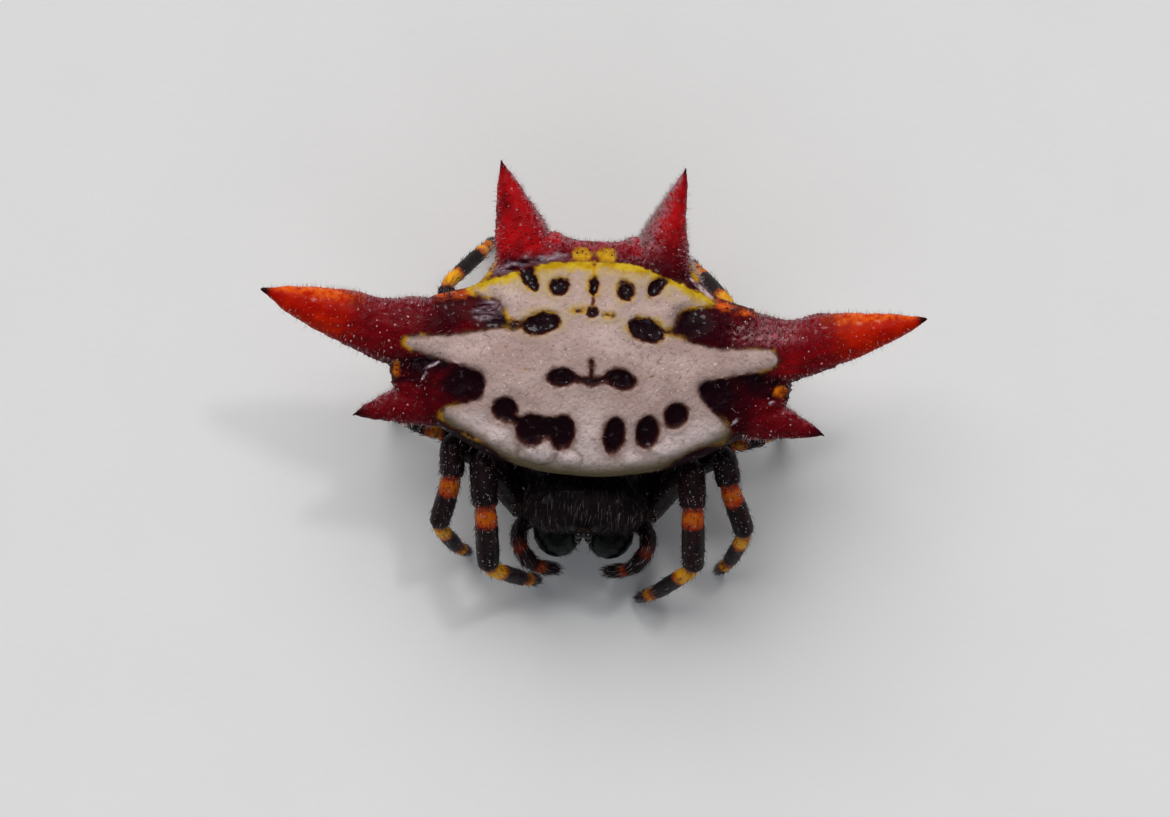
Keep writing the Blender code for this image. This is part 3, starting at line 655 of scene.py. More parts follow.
# Two colours mixed in soft patches, with so many patches to the millimetre
mottle, given, result = new_group(
    "mottle",
    [("Colour", "Color", (0.5, 0.5, 0.5, 1)), ("Patches", "Color", (0.5, 0.5, 0.5, 1)),
     ("Scale", "Float", 2.0), ("Edge", "Float", 0.15)],
    [("Colour", "Color")],
)
patch_low, patch_high = calc("SUBTRACT", 0.5, given["Edge"]), calc("ADD", 0.5, given["Edge"])
patch_mask = between(grain(given["Scale"], 3.0), patch_low, patch_high)
wire(result, colour=blend(patch_mask, given["Colour"], given["Patches"]))


def mask_of(name):
    """A number kept on the mesh."""
    return add_node("Attribute", attribute_name=name).outputs["Fac"]


def ragged(distance, softness=0.012, raggedness=0.05, grain_scale=12.0):
    """1 inside a marking and 0 outside it, with a ragged edge."""
    inputs = {"Distance": distance, "Softness": softness, "Raggedness": raggedness, "Grain": grain_scale}
    return add_node("Group", inputs, node_tree=ragged_edge).outputs["Mask"]


def frayed(value, scale, reach, detail=3.0):
    """A value shifted up and down by noise, half of reach either way."""
    return plus(value, scaled(grain(scale, detail), reach, -reach / 2))


def patched(colour, patches, scale, edge=0.15):
    """One colour with soft patches of another."""
    inputs = {"Colour": colour, "Patches": patches, "Scale": scale, "Edge": edge}
    return add_node("Group", inputs, node_tree=mottle).outputs["Colour"]


# Colours of the shell, as linear red, green and blue
CREAM = (0.45, 0.312, 0.285)
CREAM_BRIGHT = (0.60, 0.450, 0.420)
# Painted highlight of the white lobes
PUFF_HIGHLIGHT = (0.88, 0.755, 0.755)
CREAM_GREY = (0.32, 0.220, 0.200)
CRACK_BROWN = (0.15, 0.090, 0.090)
CRIMSON = (0.100, 0.0008, 0.0036)
DEEP_RED = (0.026, 0.0004, 0.0028)
BRIGHT_RED = (0.40, 0.003, 0.005)
GRAIN_RED = (0.19, 0.0015, 0.004)
ORANGE_RED = (0.50, 0.014, 0.001)
EMBER_RED = (0.38, 0.004, 0.001)
ORANGE_GLOW = (0.78, 0.12, 0.006)
PIT_BLACK = (0.009, 0.0018, 0.0040)
PIT_BROWN = (0.040, 0.008, 0.008)
WINE_BLACK = (0.0085, 0.0010, 0.0030)
YELLOW = (0.44, 0.25, 0.002)
YELLOW_PALE = (0.58, 0.39, 0.02)
YELLOW_WASH = (0.50, 0.37, 0.12)
# Painted shade of the creases round the lobes
CREASE_SHADE = (0.17, 0.12, 0.11)
EDGE_BROWN = (0.085, 0.026, 0.010)
EDGE_YELLOW = (0.52, 0.27, 0.008)
HALO_BROWN = (0.17, 0.065, 0.012)
TICK_RED = (0.13, 0.03, 0.012)
GOLD = (0.60, 0.33, 0.008)
GOLD_DULL = (0.32, 0.13, 0.008)
AMBER = (0.74, 0.20, 0.005)
AMBER_DULL = (0.24, 0.028, 0.004)
SPARK = (0.40, 0.045, 0.004)
# Painted sheen of short pale hairs
SHEEN_PINK = (0.48, 0.13, 0.18)
SPECK_WHITE = (0.78, 0.68, 0.67)
# Silvery skin, and painted highlights of wet skin
SILVER_AND_HIGHLIGHT = (0.52, 0.42, 0.46)
OLIVE = (0.085, 0.068, 0.022)
FOLD_GREY = (0.13, 0.075, 0.10)
# Pale streaks of painted highlight on the folds
FOLD_HIGHLIGHT = (0.34, 0.26, 0.30)
TIP_BLACK = (0.018, 0.001, 0.003)
BELLY_BLACK = (0.016, 0.008, 0.007)
BELLY_YELLOW = (0.46, 0.25, 0.03)

material, shader = finish("shell_cuticle", coat_roughness=0.09, coat_ior=1.4, specular_ior_level=0.03)
field_distance = mask_of("field")
mark_distance = mask_of("mark")
upper_mask = mask_of("upper")
spine_mask = mask_of("spine")
mark_mask = ragged(mark_distance, 0.032, 0.15, 8.0)
white_mask = times(ragged(times(field_distance, -1.0), 0.028, 0.12, 8.0), upper_mask)
fringe_reach = scaled(grain(5.0, 3.0), 0.26, -0.05)
fringe_colour = blend(
    times(mask_of("warm"), clouds(3.5, 0.42, 0.62)), patched(EDGE_BROWN, PIT_BROWN, 5.0), EDGE_YELLOW
)

# The red shell from its ground up: spines with a painted glow on the orange ones' rear sides, wet dark
# hollows, folds with painted highlights, painted sheen of short hairs, sparks, silvery streaks that are
# partly painted highlights, a dark front that is partly painted shade, tips and fringe
# Painted glow: the orange of the big spines turns brighter on the sides that face the rear and the lamp
ember_tone = blend(
    times(mask_of("rearward"), clouds(9.0, 0.30, 0.62)), patched(ORANGE_RED, EMBER_RED, 2.0, 0.2), ORANGE_GLOW
)
ribbons = grain(8.0, 2.0, (0.25, 1.3, 1.0))
# Grey folds of clear skin, with pale streaks of painted highlight
ribbon_tone = layered(DEEP_RED, [
    (between(ribbons, 0.38, 0.50), FOLD_GREY),
    (between(ribbons, 0.54, 0.66), FOLD_HIGHLIGHT),
])
gold_tone = blend(mask_of("back"), patched(AMBER, AMBER_DULL, 5.0, 0.2), patched(GOLD, GOLD_DULL, 7.0, 0.2))
wine = times(between(spine_mask, 0.12, 0.0), clouds(1.5, 0.30, 0.60, 2.0), mask_of("ahead"), 0.85)
# Painted sheen of the short hairs, less on the orange of the big spines
painted_sheen = times(mask_of("frost"), clouds(10.0, 0.40, 0.66), between(mask_of("ember"), 0.7, 0.1))
outer_fringe = times(
    between(calc("ABSOLUTE", field_distance), fringe_reach, 0.0), upper_mask, mask_of("warm")
)
reds = layered(patched(CRIMSON, DEEP_RED, 1.3, 0.16), [
    (between(spine_mask, 0.02, 0.20), CRIMSON),
    (times(clouds(2.6, 0.22, 0.62), mask_of("scarlet")), BRIGHT_RED),
    (wine, DEEP_RED),
    (between(frayed(mask_of("ember"), 3.0, 0.7), 0.15, 0.90), ember_tone),
    (between(frayed(mask_of("gloom"), 3.0, 0.6), 0.42, -0.06), WINE_BLACK),
    (times(ragged(mask_of("fold"), 0.08, 0.25, 5.0), upper_mask), ribbon_tone),
    (painted_sheen, SHEEN_PINK),
    (times(ragged(mask_of("spark"), 0.10, 0.30, 6.0), upper_mask), patched(SPARK, ORANGE_GLOW, 7.0, 0.2)),
    # Silvery streaks of skin, some of them painted highlights of wet skin
    (ragged(mask_of("silver"), 0.02, 0.08, 9.0), patched(SILVER_AND_HIGHLIGHT, FOLD_GREY, 10.0, 0.1)),
    # Dark front of the plate: its own dark brown-black, and painted shade on the front wall below it
    (times(mask_of("front"), 0.92), PIT_BLACK),
    (ragged(mask_of("gold"), 0.05, 0.16, 6.0), gold_tone),
    (mask_of("soot"), TIP_BLACK),
    (outer_fringe, fringe_colour),
])

# The pale field from its ground up: cracks, specks, painted shade near its edge and round the pits, white
# lobes with a painted highlight, painted shade in the creases round them, yellow stains, fringe, yellow rim,
# threads and the halos round the pits
cracks = add_node("Group", {"Cells per mm": 8.0, "Line": 0.085}, node_tree=crackle).outputs
halo_colour = blend(mask_of("back"), EDGE_BROWN, patched(HALO_BROWN, EDGE_YELLOW, 4.0))
halo_reach = scaled(grain(6.0, 3.0), 0.30, -0.080)
stain = times(between(mark_distance, 0.22, 0.02), mask_of("back"), clouds(3.0, 0.34, 0.60), 0.55)
creams = layered(patched(CREAM, CREAM_BRIGHT, 1.1, 0.22), [
    (clouds(12.0, 0.48, 0.85), CREAM_GREY),
    (times(cracks["Lines"], clouds(7.0, 0.55, 0.62, 2.0), 0.55), CRACK_BROWN),
    (times(clouds(17.0, 0.68, 0.74, 1.0), 0.8), SPECK_WHITE),
    # Painted shade: greyer near the field's edge and round the pits
    (times(between(calc("MINIMUM", field_distance, mark_distance), 0.38, 0.0), 0.45), CREAM_GREY),
    # Painted highlight on the white lobes and the front of the field
    (times(mask_of("puff_highlight"), clouds(9.0, 0.22, 0.55), 0.72), PUFF_HIGHLIGHT),
    # Painted shade in the creases round the lobes
    (times(mask_of("crease_shade"), 0.6), CREASE_SHADE),
    (times(mask_of("olive"), 0.92), OLIVE),
    (times(between(mask_of("rim"), 0.42, 0.0), clouds(2.4, 0.30, 0.65), 0.55), YELLOW_WASH),
    (stain, YELLOW_WASH),
    (times(between(field_distance, fringe_reach, 0.0), 0.85), fringe_colour),
    (between(frayed(mask_of("rim"), 4.0, 0.30), 0.11, -0.06), patched(YELLOW, YELLOW_PALE, 4.5, 0.12)),
    (ragged(mask_of("thread"), 0.02, 0.08), blend(clouds(3.0, 0.35, 0.6, 2.0), TICK_RED, EDGE_YELLOW)),
    (times(between(mark_distance, halo_reach, -0.01), 0.85), halo_colour),
    (mark_mask, blend(between(mark_distance, -0.09, 0.01), PIT_BLACK, PIT_BROWN)),
])
belly_colour = blend(clouds(1.4, 0.60, 0.66, 1.0), patched(BELLY_BLACK, PIT_BROWN, 3.0), BELLY_YELLOW)
colour = layered(reds, [(white_mask, creams), (mask_of("belly"), belly_colour)])

# The coat is wet only in patches of the red skin and in the glazed places, and the pale field is dull
dull = times(white_mask, calc("SUBTRACT", 1.0, mark_mask))
wet = between(scaled(mask_of("glaze"), 0.11, grain(9.0, 2.0)), 0.62, 0.70)
coat = times(scaled(wet, 0.87, 0.03), scaled(dull, -0.85, 1.0))
cell_height = times(cracks["Cells"], scaled(dull, 0.30, 0.05))
smooth_here = calc("MAXIMUM", dull, between(spine_mask, 0.04, 0.20))
wet_height = times(grain(8.0, 3.0), scaled(smooth_here, -3.0, 3.8))
height = plus(plus(cell_height, times(grain(24.0, 3.0), 0.8)), wet_height)
wire(
    shader, base_color=colour, roughness=scaled(dull, 0.10, 0.44), coat_weight=coat,
    normal=bump(height, 1.0, 0.013),
)
abdomen.data.materials.append(material)
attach(abdomen, "root")
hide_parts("abdomen")

# The grains and bristles of the spines: each grain is a low bump of the shell, and most carry
# one short pale bristle. They make the frosted edge round the spines and the margin.
GRAIN_TRIES = 9000
GRAIN_SPACING = 0.085
GRAIN_RADIUS = (0.014, 0.030)
GRAIN_SIDES = 7
BRISTLE_SIDES = 3
# Length and half width of the hairs, from and to
SPINE_HAIR = ((0.06, 0.15), (0.0025, 0.0045))
FROST_HAIR = ((0.05, 0.12), (0.0016, 0.0028))
FROST_HAIRS = 5500
# Hairs stay this far above the floor
FLOOR_CLEAR = 0.004
# Bake map: the half size of one tuft's patch, and the shell's middle, half size and share of the map
PATCH = 0.001
SHELL_MIDDLE_Y = -0.3
SHELL_REACH = (6.6, 3.6)
SHELL_SHARE = (0.235, 0.46)


def build_mesh(name, points, triangles, material):
    """An object from many points in plan millimetres and many triangles."""
    mesh = bpy.data.meshes.new(name)
    points = (np.asarray(points, float) + (0, FRAME_Y, 0)) * MM
    triangles = np.asarray(triangles, np.int32)
    mesh.vertices.add(len(points))
    mesh.vertices.foreach_set("co", points.astype(np.float32).ravel())
    mesh.loops.add(triangles.size)
    mesh.loops.foreach_set("vertex_index", triangles.ravel())
    mesh.polygons.add(len(triangles))
    mesh.polygons.foreach_set("loop_start", np.arange(0, triangles.size, triangles.shape[1], dtype=np.int32))
    mesh.update(calc_edges=True)
    mesh.shade_smooth()
    mesh.materials.append(material)
    made = bpy.data.objects.new(name, mesh)
    bpy.context.scene.collection.objects.link(made)
    return made


def write_patches(mesh, roots, count):
    """Gives each tuft of count points a small patch of the bake map at its root's place."""
    layer = mesh.uv_layers.new(name="OFBake")
    nudges = np.array([((k % 3 - 1) * PATCH, (k // 3 % 3 - 1) * PATCH) for k in range(count)])
    places = (roots[:, None, :] + nudges[None]).reshape(-1, 2)
    corners = np.empty(len(mesh.loops), np.int32)
    mesh.loops.foreach_get("vertex_index", corners)
    layer.data.foreach_set("uv", places[corners].astype(np.float32).ravel())


def tube_faces(rows, sides, first=0):
    """The triangles of a tube's wall, between rings of so many points from the first on."""
    faces = []
    for row in range(rows):
        start = first + row * sides
        for k in range(sides):
            a, b = start + k, start + (k + 1) % sides
            faces += [(a, b, b + sides), (a, b + sides, a + sides)]
    return faces


def unit(rows):
    """Each row at length 1."""
    return rows / np.maximum(np.linalg.norm(rows, axis=1, keepdims=True), 1e-9)


def scatter(mesh, count, density, rng):
    """Random places on a skin, more where the density is higher, with their outward ways."""
    mesh.calc_loop_triangles()
    corners = np.empty(len(mesh.loop_triangles) * 3, np.int32)
    mesh.loop_triangles.foreach_get("vertices", corners)
    corners = corners.reshape(-1, 3)
    places = read_points(mesh) / MM - (0, FRAME_Y, 0)
    outs = read_normals(mesh)
    a, b, c = (places[corners[:, k]] for k in range(3))
    chance = np.linalg.norm(np.cross(b - a, c - a), axis=1) * density[corners].mean(axis=1)
    picked = corners[rng.choice(len(corners), count, p=chance / chance.sum())]
    shares = rng.random((count, 2))
    shares = np.where(shares.sum(axis=1, keepdims=True) > 1, 1 - shares, shares)
    weights = np.column_stack((1 - shares.sum(axis=1), shares))[..., None]
    return (places[picked] * weights).sum(axis=1), unit((outs[picked] * weights).sum(axis=1))


def spaced(places, spacing):
    """Picks places in turn that keep their distance from all those picked before."""
    cells, picked = {}, []
    for index, place in enumerate(places):
        cell = tuple(int(math.floor(v / spacing)) for v in place)
        around = [
            other
            for dx in (-1, 0, 1) for dy in (-1, 0, 1) for dz in (-1, 0, 1)
            for other in cells.get((cell[0] + dx, cell[1] + dy, cell[2] + dz), ())
        ]
        if all(np.sum((places[other] - place) ** 2) >= spacing**2 for other in around):
            cells.setdefault(cell, []).append(index)
            picked.append(index)
    return np.array(picked)


def many(name, points, local, patches, material, shades):
    """One mesh of many alike pieces, from the points of each and the triangles of one."""
    count, per = points.shape[:2]
    triangles = (np.array(local)[None] + (np.arange(count) * per)[:, None, None]).reshape(-1, 3)
    made = build_mesh(name, points.reshape(-1, 3), triangles, material)
    write_patches(made.data, patches, per)
    for key, values in shades.items():
        write_mask(made.data, key, np.repeat(values, per))
    return made


def bristles(name, roots, ways, bends, lengths, widths, patches, material, tones):
    """Many thin solid bristles: three-sided, tapered to a point and bent along their length."""
    ways = unit(ways)
    side = unit(np.cross(ways, bends + 1e-4))
    other = np.cross(ways, side)
    rings = []
    for share, girth in ((-0.06, 0.9), (0.40, 0.85), (0.76, 0.5)):
        middle = roots + ways * (lengths * share)[:, None] + bends * (lengths * share * abs(share))[:, None]
        for k in range(BRISTLE_SIDES):
            turn = 2 * math.pi * k / BRISTLE_SIDES
            around = side * math.cos(turn) + other * math.sin(turn)
            rings.append(middle + around * (widths * girth)[:, None])
    rings.append(roots + (ways + bends) * lengths[:, None])
    points = np.stack(rings, axis=1)
    points[..., 2] = np.maximum(points[..., 2], FLOOR_CLEAR)
    tip = points.shape[1] - 1
    last = tip - BRISTLE_SIDES
    local = [(0, 2, 1)] + tube_faces(2, BRISTLE_SIDES)
    local += [(last + k, last + (k + 1) % BRISTLE_SIDES, tip) for k in range(BRISTLE_SIDES)]
    return many(name, points, local, patches, material, {"tone": tones})


def grains(name, roots, outs, radii, patches, material, shades):
    """Many low domes of the shell, each a closed bead sunk half into it."""
    side = unit(np.cross(outs, (0.31, 0.17, 0.93)))
    other = np.cross(outs, side)
    rings = []
    for rise, girth in ((-0.5, 0.7), (0.15, 1.0), (0.60, 0.72)):
        for k in range(GRAIN_SIDES):
            turn = 2 * math.pi * k / GRAIN_SIDES
            offset = (side * math.cos(turn) + other * math.sin(turn)) * girth + outs * rise
            rings.append(roots + offset * radii[:, None])
    rings += [roots + outs * (0.85 * radii)[:, None], roots - outs * (0.8 * radii)[:, None]]
    points = np.stack(rings, axis=1)
    per = points.shape[1]
    local = []
    for k in range(GRAIN_SIDES):
        after = (k + 1) % GRAIN_SIDES
        for ring in (0, GRAIN_SIDES):
            a, b = ring + k, ring + after
            local += [(a, b, b + GRAIN_SIDES), (a, b + GRAIN_SIDES, a + GRAIN_SIDES)]
        local += [(2 * GRAIN_SIDES + k, 2 * GRAIN_SIDES + after, per - 2), (after, k, per - 1)]
    return many(name, points, local, patches, material, shades)


def shell_unwrap(places, outs):
    """The shell's bake map: its back in the left half and its belly in the right half."""
    half = np.where(outs[:, 2] > 0, 0.25, 0.75)
    across = places[:, 0] / SHELL_REACH[0] * SHELL_SHARE[0]
    along = (places[:, 1] - SHELL_MIDDLE_Y) / SHELL_REACH[1] * SHELL_SHARE[1]
    return np.column_stack((half + across, 0.5 + along))


def hair_finish(name, dark, pale, roughness):
    """Hair from a dark to a pale tone, with a silky gloss."""
    material, shader = finish(name, roughness=roughness, specular_ior_level=0.12)
    wire(shader, base_color=blend(frayed(mask_of("tone"), 6.0, 0.3, 2.0), dark, pale))
    return material


rng = np.random.default_rng(41)
shell_area = step(0.03, 0.15, on_spine) + 0.25 * step(-0.05, -0.3, field) * upper * step(0.05, 0.35, gloom)
shell_area *= (1 - belly) * (1 - upper * step(-0.08, -0.02, field))
places, outs = scatter(abdomen.data, GRAIN_TRIES, shell_area, rng)
chosen = spaced(places, GRAIN_SPACING)
places, outs = places[chosen], outs[chosen]
grain_shares, tip_shares = spine_shares(places)
sizes = rng.uniform(*GRAIN_RADIUS, len(places)) * np.clip(1.25 - tip_shares, 0.35, 1.0)
material, shader = finish(
    "spine_grain", roughness=0.32, coat_weight=0.3, coat_roughness=0.1, specular_ior_level=0.1
)
wire(shader, base_color=layered(patched(CRIMSON, GRAIN_RED, 2.0), [
    (mask_of("bright"), patched(BRIGHT_RED, GRAIN_RED, 2.0)),
    (mask_of("deep"), patched(DEEP_RED, CRIMSON, 2.0)),
    (mask_of("ember"), patched(ORANGE_RED, ORANGE_GLOW, 2.5)),
    # Pale grains: painted glints
    (mask_of("frost"), (0.46, 0.24, 0.27)),
]))
# Some grains are pale, more toward the spines' tips: they paint the spines' small glints
glint_grain_share = 0.05 + 0.07 * step(0.04, 0.20, tip_shares)
spine_grains = grains("spine_grains", places, outs, sizes, shell_unwrap(places, outs), material, {
    "ember": step(0.40, 0.66, grain_shares["big"]),
    "deep": step(0.16, 0.04, tip_shares),
    "bright": step(0.05, 0.30, grain_shares["rear"]),
    "frost": (rng.random(len(places)) < glint_grain_share).astype(float),
})
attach(spine_grains, "root")

pale_hair = hair_finish("pale_bristle", (0.30, 0.14, 0.13), (0.80, 0.74, 0.75), 0.4)
# Three in four grains of the sides carry a hair, and fewer of those that face up
hairy = rng.random(len(places)) < 0.75 - 0.52 * step(0.30, 0.80, outs[:, 2])
roots, ways = places[hairy], outs[hairy]
bends = rng.normal(0, 0.06, roots.shape) + (0, 0, 0.05)
lengths = rng.uniform(*SPINE_HAIR[0], len(roots))
spine_bristles = bristles(
    "spine_bristles", roots, ways + rng.normal(0, 0.14, roots.shape), bends, lengths,
    rng.uniform(*SPINE_HAIR[1], len(roots)), shell_unwrap(roots, ways), pale_hair,
    rng.uniform(0.3, 1.0, len(roots)),
)
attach(spine_bristles, "root")
roots, ways = scatter(abdomen.data, FROST_HAIRS, masks["frost"] ** 1.5, rng)
frost_hairs = bristles(
    "frost_hairs", roots, ways + rng.normal(0, 0.35, roots.shape) + (0, 0.25, 0.1),
    rng.normal(0, 0.15, roots.shape), rng.uniform(*FROST_HAIR[0], len(roots)),
    rng.uniform(*FROST_HAIR[1], len(roots)), shell_unwrap(roots, ways), pale_hair,
    rng.uniform(0.4, 1.0, len(roots)),
)
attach(frost_hairs, "root")

# The walking legs: each one skin from the coxa in the body's side to the tip of the tarsus,
# black-brown cuticle with a bright ring at the root of tibia, metatarsus and tarsus.
LEG_SIDES = 24
ROUTE_STEP = 0.05
# A rounded corner takes at most this share of the segments that meet there, in so many steps
CORNER_SHARE = 0.42
CORNER_STEPS = 8
# How far a limb narrows at its joints, and a leg at its tip
JOINT_WAIST = 0.84
LEG_TIP = 0.42
COXA_HEIGHT = 1.16
HIP_HEIGHT = 1.22
TIP_HEIGHT = 0.10
COXA_ROOTS = [(0.62, -3.70), (0.70, -3.31), (0.68, -2.88), (0.52, -2.50)]
HIPS = [(1.20, -4.06), (1.46, -3.42), (1.42, -2.80), (1.04, -2.24)]
LEG_GIRTHS = [
    (0.23, 0.255, 0.265, 0.225, 0.155, 0.125),
    (0.23, 0.245, 0.240, 0.205, 0.145, 0.120),
    (0.22, 0.19, 0.185, 0.170, 0.130, 0.110),
    (0.22, 0.22, 0.21, 0.190, 0.140, 0.115),
]
JOINT_HEIGHTS = [
    (2.72, 2.70, 1.90, 0.64, TIP_HEIGHT),
    (2.62, 2.58, 1.86, 0.62, TIP_HEIGHT),
    (1.84, 1.90, 1.72, 0.60, TIP_HEIGHT),
    (2.20, 2.22, 2.02, 0.64, TIP_HEIGHT),
]
JOINT_PLACES = {
    "leg_1_left": [(2.02, -2.98), (2.10, -3.88), (2.17, -5.06), (1.46, -5.58), (1.12, -5.72)],
    "leg_1_right": [(-2.04, -3.02), (-1.92, -4.04), (-1.82, -5.22), (-1.12, -5.42), (-0.84, -5.44)],
    "leg_2_left": [(2.64, -2.72), (2.78, -3.40), (3.16, -4.34), (2.88, -4.92), (2.66, -5.12)],
    "leg_2_right": [(-2.64, -2.72), (-2.60, -3.46), (-2.84, -4.44), (-2.46, -4.86), (-2.24, -4.95)],
    "leg_3_left": [(2.50, -2.62), (2.86, -2.58), (3.44, -2.42), (3.72, -2.30), (3.80, -2.26)],
    "leg_3_right": [(-2.50, -2.62), (-2.90, -2.60), (-3.50, -2.40), (-3.78, -2.28), (-3.86, -2.24)],
    "leg_4_left": [(2.46, -1.52), (2.60, -0.98), (2.66, 0.10), (2.02, 0.78), (1.86, 0.96)],
    "leg_4_right": [(-2.52, -1.50), (-2.72, -0.90), (-2.90, 0.26), (-2.18, 1.04), (-2.02, 1.22)],
}
LEG_BENDS = (0.22, 0.26, 0.20, 0.22, 0.14)
# Bright rings of each pair of legs: (segment, from, to, tone), where segment 3 is the tibia,
# the ends are shares of it, and the tone runs from red-orange at 0 to yellow at 1
LEG_RINGS = [
    [(3, -0.05, 0.24, 0.0), (4, -0.04, 0.36, 1.0), (5, -0.05, 0.50, 0.8)],
    [(3, -0.05, 0.30, 0.0), (4, -0.04, 0.36, 1.0), (5, -0.05, 0.50, 0.8)],
    [(3, -0.20, 0.34, 0.5), (4, -0.06, 0.50, 0.5), (5, -0.05, 0.55, 0.7)],
    [(3, -0.05, 0.24, 0.2), (4, -0.04, 0.30, 0.9), (4, 0.80, 1.0, 0.8), (5, -0.05, 0.45, 0.8)],
]


def limb_route(corners, bends):
    """The middle line of a limb with its corners rounded, and each point's station.

    The station is the number of the segment, the coxa being 0, plus the share along it.
    """
    corners = [np.array(c, float) for c in corners]
    last = len(corners) - 2
    line, stations = [], []
    leave = corners[0]
    low = 0.0
    for k in range(last + 1):
        start, end = corners[k], corners[k + 1]
        length = np.linalg.norm(end - start)
        cut = min(bends[k], CORNER_SHARE * length) if k < last else 0.0
        enter = end - (end - start) / length * cut
        high = 1 - cut / length
        steps = max(int(np.linalg.norm(enter - leave) / ROUTE_STEP), 2)
        for n in range(steps + (k == last)):
            t = n / steps
            line.append(leave + (enter - leave) * t)
            stations.append(k + low + (high - low) * t)
        if k < last:
            after = corners[k + 2]
            next_length = np.linalg.norm(after - end)
            run = min(bends[k], CORNER_SHARE * next_length)
            leave = end + (after - end) / next_length * run
            low = run / next_length
            for n in range(CORNER_STEPS):
                t = n / CORNER_STEPS
                line.append((enter * (1 - t) + end * t) * (1 - t) + (end * (1 - t) + leave * t) * t)
                stations.append(k + 1 + ((high - 1) * (1 - 2 * t) if t < 0.5 else low * (2 * t - 1)))
    return np.array(line), np.array(stations)


def limb_girth(stations, girths, tip_share):
    """The radius along a limb: each segment swells and narrows into a crease at its joints."""
    known, radii = [-0.05], [girths[0] * 0.9]
    for k, girth in enumerate(girths):
        last = k == len(girths) - 1
        known += [k + 0.07, k + 0.28, k + 0.70, k + 0.93]
        radii += [girth * 0.93, girth, girth * (0.78 if last else 1.02), girth * (0.55 if last else 0.95)]
        if not last:
            known.append(k + 1.0)
            radii.append(min(girth, girths[k + 1]) * JOINT_WAIST)
    known += [len(girths) - 0.02, len(girths) + 0.01]
    radii += [girths[-1] * tip_share, girths[-1] * tip_share * 0.3]
    return np.interp(stations, known, radii)


def limb_frames(line):
    """Two ways square to the limb at each point of its line, without any twist."""
    ways = unit(np.gradient(line, axis=0))
    side = np.cross(ways[0], (0, 0, 1))
    sides = []
    for way in ways:
        side = side - way * side.dot(way)
        side = side / np.linalg.norm(side)
        sides.append(side)
    sides = np.array(sides)
    return ways, sides, np.cross(sides, ways)


def limb_course(corners, bends, girths, tip_share):
    """What a limb is built on: its middle line with stations, radii and frames, and its segments' lengths."""
    line, stations = limb_route(corners, bends)
    lengths = [math.dist(a, b) for a, b in zip(corners[:-1], corners[1:])]
    return (line, stations, limb_girth(stations, girths, tip_share), limb_frames(line)), lengths


def limb_skin(name, limb, rings, lengths, seed, material):
    """One closed skin along a limb, uneven as cuticle is, with its rings kept as masks."""
    line, stations, radii, (ways, sides, ups) = limb
    turns = 2 * math.pi * np.arange(LEG_SIDES) / LEG_SIDES
    offsets = sides[:, None] * np.cos(turns)[None, :, None] + ups[:, None] * np.sin(turns)[None, :, None]
    shell = line[:, None] + offsets * radii[:, None, None]
    flat = shell.reshape(-1, 3)
    rough = 0.010 * lumps(flat, 5.0, seed) + 0.006 * lumps(flat, 12.0, seed)
    shell = shell + offsets * rough.reshape(len(line), LEG_SIDES, 1)
    points = np.vstack((shell.reshape(-1, 3), line[:1], line[-1:] + ways[-1:] * radii[-1]))
    triangles = tube_faces(len(line) - 1, LEG_SIDES)
    end = (len(line) - 1) * LEG_SIDES
    for k in range(LEG_SIDES):
        after = (k + 1) % LEG_SIDES
        triangles += [(after, k, len(points) - 2), (end + k, end + after, len(points) - 1)]
    made = build_mesh(name, points, np.array(triangles)[:, ::-1], material)
    ring = np.full(len(line), -9.0)
    tone = np.zeros(len(line))
    for segment, start, stop, ring_tone in rings:
        inside = np.minimum(stations - segment - start, segment + stop - stations) * lengths[segment]
        tone = np.where(inside > ring - 1e-6, ring_tone, tone)
        ring = np.maximum(ring, inside)
    joint = np.min([np.abs(stations - k) * lengths[k] for k in range(1, len(lengths))], axis=0)
    for key, values in (("ring", ring), ("tone", tone), ("joint", joint), ("station", stations)):
        write_mask(made.data, key, np.concatenate((np.repeat(values, LEG_SIDES), values[:1], values[-1:])))
    return made


LEG_BLACK = (0.0050, 0.0030, 0.0042)
LEG_BROWN = (0.018, 0.005, 0.006)
RING_RED = (0.40, 0.030, 0.002)
RING_ORANGE = (0.52, 0.105, 0.002)
RING_YELLOW = (0.88, 0.40, 0.008)
RING_SHADE = (0.15, 0.018, 0.003)
JOINT_GREY = (0.05, 0.025, 0.025)


def limb_finish(name, red, orange, yellow):
    """Black cuticle of the limbs, with rings from red to orange where tone is 0, to yellow where it is 1."""
    material, shader = finish(name, coat_weight=0.12, coat_roughness=0.15, specular_ior_level=0.06)
    heart = between(plus(mask_of("ring"), scaled(grain(5.0, 3.0), 0.30, -0.16)), 0.01, 0.19)
    tone = mask_of("tone")
    ring_bright = blend(heart, blend(tone, red, orange), blend(tone, orange, yellow))
    ring_bright = blend(clouds(12.0, 0.50, 0.85), ring_bright, RING_SHADE)
    colour = layered(patched(LEG_BLACK, LEG_BROWN, 2.2, 0.2), [
        (ragged(times(mask_of("ring"), -1.0), 0.07, 0.24, 11.0), ring_bright),
        (times(between(mask_of("joint"), 0.04, 0.0), 0.4), JOINT_GREY),
    ])
    height = plus(grain(14.0, 4.0), grain(40.0, 2.0))
    wire(shader, base_color=colour, roughness=scaled(grain(5.0), 0.2, 0.34), normal=bump(height, 0.9, 0.012))
    return material


leg_material = limb_finish("leg_cuticle", RING_RED, RING_ORANGE, RING_YELLOW)
black_hair = hair_finish("black_bristle", (0.003, 0.002, 0.0028), (0.014, 0.008, 0.009), 0.45)
silver_hair = hair_finish("silver_hair", (0.12, 0.09, 0.09), (0.62, 0.57, 0.60), 0.4)
